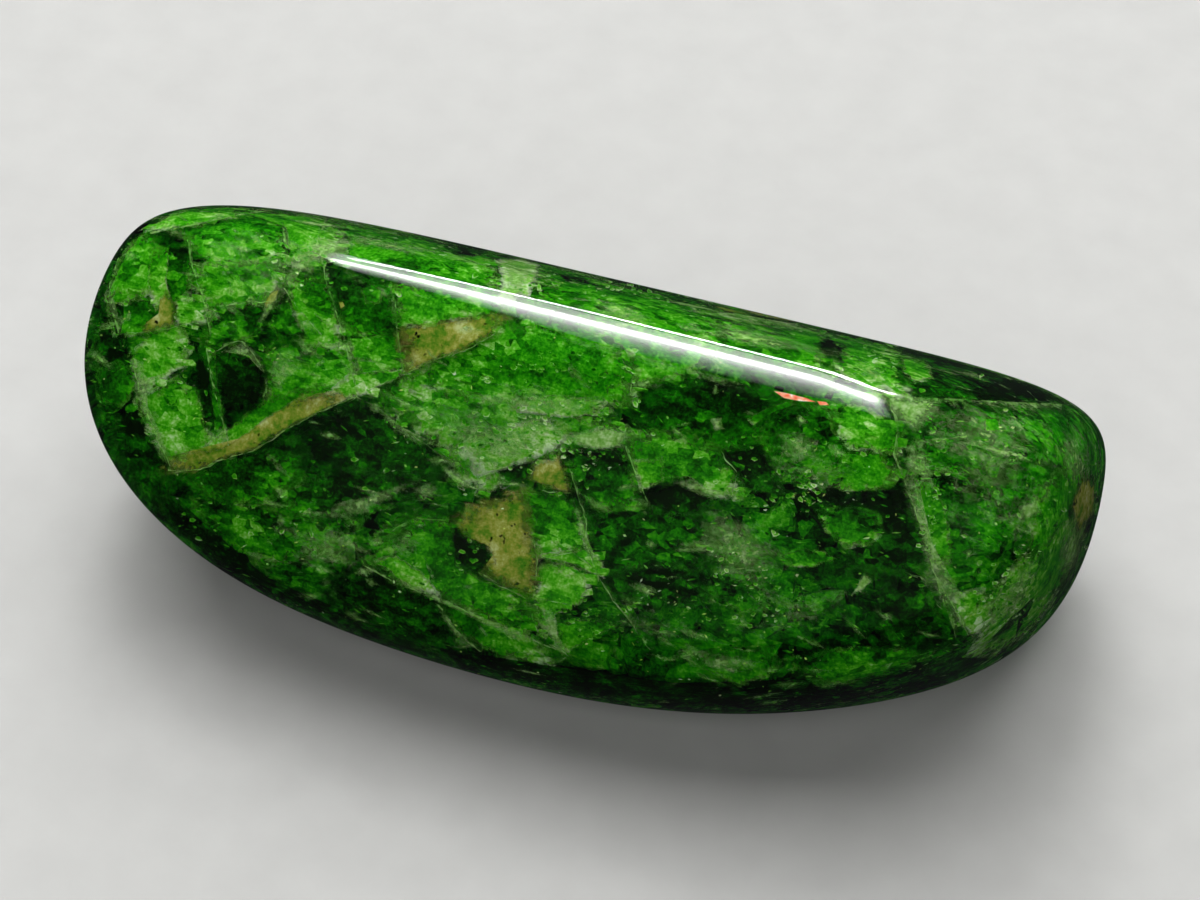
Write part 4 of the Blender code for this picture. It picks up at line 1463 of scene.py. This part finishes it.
FLAKES = {
    # How many, how far they spread in pixels, their depth, where, and their range of tones.
    "centre": (190, (112, 46), 0.3, (528, 432), (0.40, 0.72)),
    "centre_high": (60, (90, 24), 0.4, (560, 372), (0.35, 0.62)),
    "ridge_start": (60, (42, 26), 0.35, (308, 256), (0.45, 0.70)),
    "band": (80, (250, 10), 0.35, (590, 288), (0.45, 0.75)),
    "band_end": (40, (40, 22), 0.35, (870, 364), (0.40, 0.66)),
    "left_plate": (60, (70, 70), 0.5, (200, 340), (0.30, 0.66)),
    "left_middle": (80, (90, 46), 0.4, (270, 500), (0.20, 0.52)),
    "wing": (60, (90, 40), 0.4, (450, 570), (0.30, 0.64)),
    "foot": (60, (60, 36), 0.35, (590, 620), (0.30, 0.66)),
    "right_middle": (150, (84, 50), 0.35, (790, 480), (0.15, 0.62)),
    "right_low": (130, (80, 46), 0.35, (750, 600), (0.15, 0.56)),
    "cell": (100, (80, 90), 0.35, (1000, 490), (0.30, 0.62)),
    "cell_edge": (60, (20, 90), 0.3, (930, 500), (0.40, 0.68)),
    "cell_foot": (60, (40, 30), 0.3, (1010, 600), (0.40, 0.70)),
}
FIBRE_TURN = 0.2


def flake_outlines():
    """Crumbs of broken stone around each place: five-cornered, a little longer along the fibres."""
    dice = random.Random("flakes")
    outlines = []
    for count, (spread_x, spread_y), depth, (x, y), tones in FLAKES.values():
        for _ in range(count):
            middle = Vector((x + dice.gauss(0, 0.5) * spread_x, y + dice.gauss(0, 0.5) * spread_y))
            size = dice.uniform(0.8, 3.0)
            turn = Matrix.Rotation(dice.gauss(FIBRE_TURN, 0.5), 2)
            corners = []
            for i in range(5):
                angle = (i + dice.uniform(-0.3, 0.3)) * math.tau / 5
                arm = Vector((1.6 * math.cos(angle), math.sin(angle))) * size * dice.uniform(0.6, 1.0)
                corners.append(middle + turn @ arm)
            outlines.append((dice.uniform(*tones), depth + dice.uniform(0.0, 0.3), corners))
    return outlines


flakes = wedges("flakes", flake_outlines(), 0.1 * MM, broken_face, copied=0.8)
keep_under(flakes.data, 0.2 * MM, 0.2 * MM)
print("flakes:", len(flakes.data.polygons), "faces")


def glint_outlines():
    """A few slim lozenges around each place, lying along the fibres."""
    dice = random.Random("glints")
    outlines = []
    for count, (spread_x, spread_y), depth, (x, y) in GLINTS.values():
        for _ in range(count):
            at_x = x + dice.uniform(-spread_x, spread_x)
            at_y = y + dice.uniform(-spread_y, spread_y)
            turn = dice.gauss(-0.3, 0.5)
            along = Vector((math.cos(turn), math.sin(turn))) * dice.uniform(0.7, 2.4)
            aside = Vector((-along.y, along.x)) * dice.uniform(0.10, 0.28)
            corners = [(at_x + step.x, at_y + step.y) for step in (along, aside, -along, -aside)]
            outlines.append((1.0, depth, corners))
    return outlines


# The glints wear the painted glint finish: each one is a painted highlight.
glints = wedges("glints", glint_outlines(), 0.05 * MM, painted_glint, copied=0.8)
print("glints:", len(glints.data.polygons), "faces")


# %% The orange glint
def thin_film_crack():
    """Painted reflection: the orange that a crack's very thin film of air throws back, as a matt orange to
    white colour.
    """
    material = bpy.data.materials.new("thin_film_crack")
    material.use_nodes = True
    tree = material.node_tree
    shader = tree.nodes["Principled BSDF"]
    place = crystal_place(tree)
    drift_and_painted_light = add(tree, "ShaderNodeTexNoise", Vector=place, Scale=1 / (0.7 * MM), Detail=2.0)
    tint = ramp(tree, drift_and_painted_light.outputs["Fac"], [(0.42, "#FF6A2E"), (0.5, "#FFB48C"), (0.55, "#FFF6EE")])
    tree.links.new(tint, shader.inputs["Base Color"])
    shader.inputs["Roughness"].default_value = 0.3
    return material


# Painted reflection: the place of the orange glint from one crack near the skin, in two pieces.
ORANGE_GLINT = [
    (0.5, 0.07, [(774, 391), (786, 393), (806, 398), (816, 402), (800, 401), (784, 398)]),
    (0.5, 0.07, [(817, 401), (826, 402), (829, 405), (820, 405)]),
]
orange_glint = wedges("orange_glint", ORANGE_GLINT, 0.04 * MM, thin_film_crack())


# %% [markdown]
# ## Light
#
# A clear stone is lit from inside by what gets in through its polish, so it wants one very
# broad soft light above. The bright lines along the ridge are something else: the mirror
# image of narrow lamps. The broad light is hidden from reflections and two thin strips are
# hung where the ridge mirrors them.

# %% Lamps
def lamp(name, place, aim, width, height, power):
    """A flat rectangular light, aimed at a point."""
    data = bpy.data.lights.new(name, "AREA")
    data.shape = "RECTANGLE"
    data.size = width
    data.size_y = height
    data.energy = power
    light = bpy.data.objects.new(name, data)
    light.location = place
    light.rotation_euler = (Vector(aim) - Vector(place)).to_track_quat("-Z", "Y").to_euler()
    bpy.context.scene.collection.objects.link(light)
    return light


softbox = lamp("softbox", (-0.10, 0.30, 0.55), (0, 0, 0.01), 0.9, 0.9, 12.5)
softbox.visible_glossy = False
fill = lamp("fill", (0.10, -0.60, 0.50), (0, 0, 0.01), 0.9, 0.7, 5.0)
fill.visible_glossy = False


# %% Strips with soft edges
def straight_lines(tree, value, points):
    """A number that follows straight lines from point to point."""
    node = add(tree, "ShaderNodeFloatCurve", Value=value)
    line = node.mapping.curves[0]
    while len(line.points) < len(points):
        line.points.new(0.5, 0.5)
    for point, place in zip(line.points, points):
        point.location = place
        point.handle_type = "VECTOR"
    node.mapping.update()
    return node.outputs["Value"]


def shade_strip(light, across, down, slant, middle, bend, squeeze=1.0):
    """Makes a lamp brighter in some places: stops from right to left, and from back to front.

    The ridge of the stone turns as it runs, so a straight strip comes out crooked in it. Slant
    makes a line across the lamp come out upright in the picture, bend moves the bright strip
    forward near the ends, and squeeze makes it slimmer towards its left tip.
    """
    light.data.use_nodes = True
    tree = light.data.node_tree
    on_lamp = add(tree, "ShaderNodeNewGeometry").outputs["Parametric"]
    axes = add(tree, "ShaderNodeSeparateXYZ", Vector=on_lamp)
    askew = add(tree, "ShaderNodeMath", {"operation": "MULTIPLY_ADD"}, _0=axes.outputs["Y"],
                _1=-slant, _2=slant * middle)
    upright = add(tree, "ShaderNodeMath", {"operation": "ADD"}, _0=axes.outputs["X"],
                  _1=askew.outputs["Value"])
    along = add(tree, "ShaderNodeMath", {"operation": "MULTIPLY_ADD"}, _0=upright.outputs["Value"],
                _1=ALONG_SCALE, _2=ALONG_START)
    pushed = straight_lines(tree, along.outputs["Value"], bend)
    down_place = add(tree, "ShaderNodeMath", {"operation": "SUBTRACT"}, _0=axes.outputs["Y"], _1=pushed)
    slimmer = add(tree, "ShaderNodeMapRange", Value=along.outputs["Value"], From_Min=TIP_STARTS,
                  From_Max=TIP_ENDS, To_Min=1.0, To_Max=squeeze)
    from_core = add(tree, "ShaderNodeMath", {"operation": "SUBTRACT"}, _0=down_place.outputs["Value"],
                    _1=CORE)
    squeezed = add(tree, "ShaderNodeMath", {"operation": "MULTIPLY_ADD"}, _0=from_core.outputs["Value"],
                   _1=slimmer.outputs["Result"], _2=CORE)
    across_shade = ramp(tree, along.outputs["Value"], across)
    down_shade = ramp(tree, squeezed.outputs["Value"], down)
    both = add(tree, "ShaderNodeMix", {"data_type": "RGBA", "blend_type": "MULTIPLY"}, _0=1.0,
               _6=across_shade, _7=down_shade)
    tree.links.new(both.outputs[2], tree.nodes["Emission"].inputs["Color"])


ALONG_SCALE = 0.8
ALONG_START = 0.1
TIP_STARTS = 0.54
TIP_ENDS = 0.68
CORE = 0.33
LOW_ENDS = [(0.078, "#000000"), (0.118, "#FFFFFF"), (0.72, "#FFFFFF"), (0.745, "#000000")]
LOW_STRIP = [(0.0, "#747474"), (0.21, "#868686"), (0.265, "#A0A0A0"), (0.315, "#FFFFFF"), (0.42, "#FFFFFF"),
             (0.50, "#BCBCBC"), (0.58, "#9A9A9A"), (0.66, "#7A7A7A"), (0.76, "#5C5C5C"), (0.88, "#404040"),
             (0.98, "#000000")]
LOW_BEND = [(0.0, 0.20), (0.12, 0.20), (0.215, 0.0), (1.0, 0.0)]
HIGH_ENDS = [(0.03, "#000000"), (0.05, "#FFFFFF"), (0.745, "#FFFFFF"), (0.775, "#000000")]
HIGH_STRIP = [(0.02, "#000000"), (0.03, "#606060"), (0.09, "#FFFFFF"), (0.19, "#FFFFFF"), (0.23, "#606060"),
              (0.24, "#000000")]
HIGH_BEND = [(0.0, 0.76), (0.1, 0.72), (0.28, 0.0), (0.52, 0.0), (0.65, 0.32), (0.75, 0.70), (1.0, 0.76)]

ridge = Vector((0.0, 0.0, 0.018))
strip_low = lamp("strip_low", (-0.163, 0.348, 0.630), ridge, 0.31, 0.60, 12.4)
shade_strip(strip_low, LOW_ENDS, LOW_STRIP, 0.68, 0.242, LOW_BEND, squeeze=2.2)
strip_high = lamp("strip_high", (-0.203, 0.6694, 0.5435), ridge, 0.32, 0.25, 7.5)
shade_strip(strip_high, HIGH_ENDS, HIGH_STRIP, 0.275, 0.13, HIGH_BEND)

world = bpy.data.worlds.new("studio")
world.use_nodes = True
world.node_tree.nodes["Background"].inputs["Color"].default_value = colour("#C8CCD0")
world.node_tree.nodes["Background"].inputs["Strength"].default_value = 0.02
bpy.context.scene.world = world
bpy.context.scene.view_settings.view_transform = "Standard"


# %% [markdown]
# ## The floor
#
# A plain pale sheet, big enough that its edge is never in view. It is kept out of mirror
# images, as a photographer keeps pale things out of a polished stone.

# %% Floor
FLOOR_HALF = 1.5


def pale_paper():
    """Uncoated paper board: matt, with the faintest mottle."""
    material = bpy.data.materials.new("pale_paper_board")
    material.use_nodes = True
    tree = material.node_tree
    shader = tree.nodes["Principled BSDF"]
    shader.inputs["Roughness"].default_value = 0.85
    place = add(tree, "ShaderNodeTexCoord").outputs["Object"]
    mottle = add(tree, "ShaderNodeTexNoise", Vector=place, Scale=1 / (3 * MM), Detail=4.0)
    tint = add(tree, "ShaderNodeMix", {"data_type": "RGBA"}, _0=mottle.outputs["Fac"],
               _6=colour("#888886"), _7=colour("#929290"))
    tree.links.new(tint.outputs[2], shader.inputs["Base Color"])
    return material


floor_data = bpy.data.meshes.new("floor")
corners = [(-1, -1), (1, -1), (1, 1), (-1, 1)]
floor_data.from_pydata([(x * FLOOR_HALF, y * FLOOR_HALF, 0.0) for x, y in corners], [], [(0, 1, 2, 3)])
floor = mesh_object("floor", floor_data, pale_paper())
floor.visible_glossy = False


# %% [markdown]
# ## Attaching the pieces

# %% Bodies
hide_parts("diopside_crystal")
for piece in (skin, heart, blocks, small_blocks, facets, chips, stained, veils, crack_planes, cracks,
              slivers, feathers, sparks, flakes, glints, orange_glint):
    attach(piece, "root")
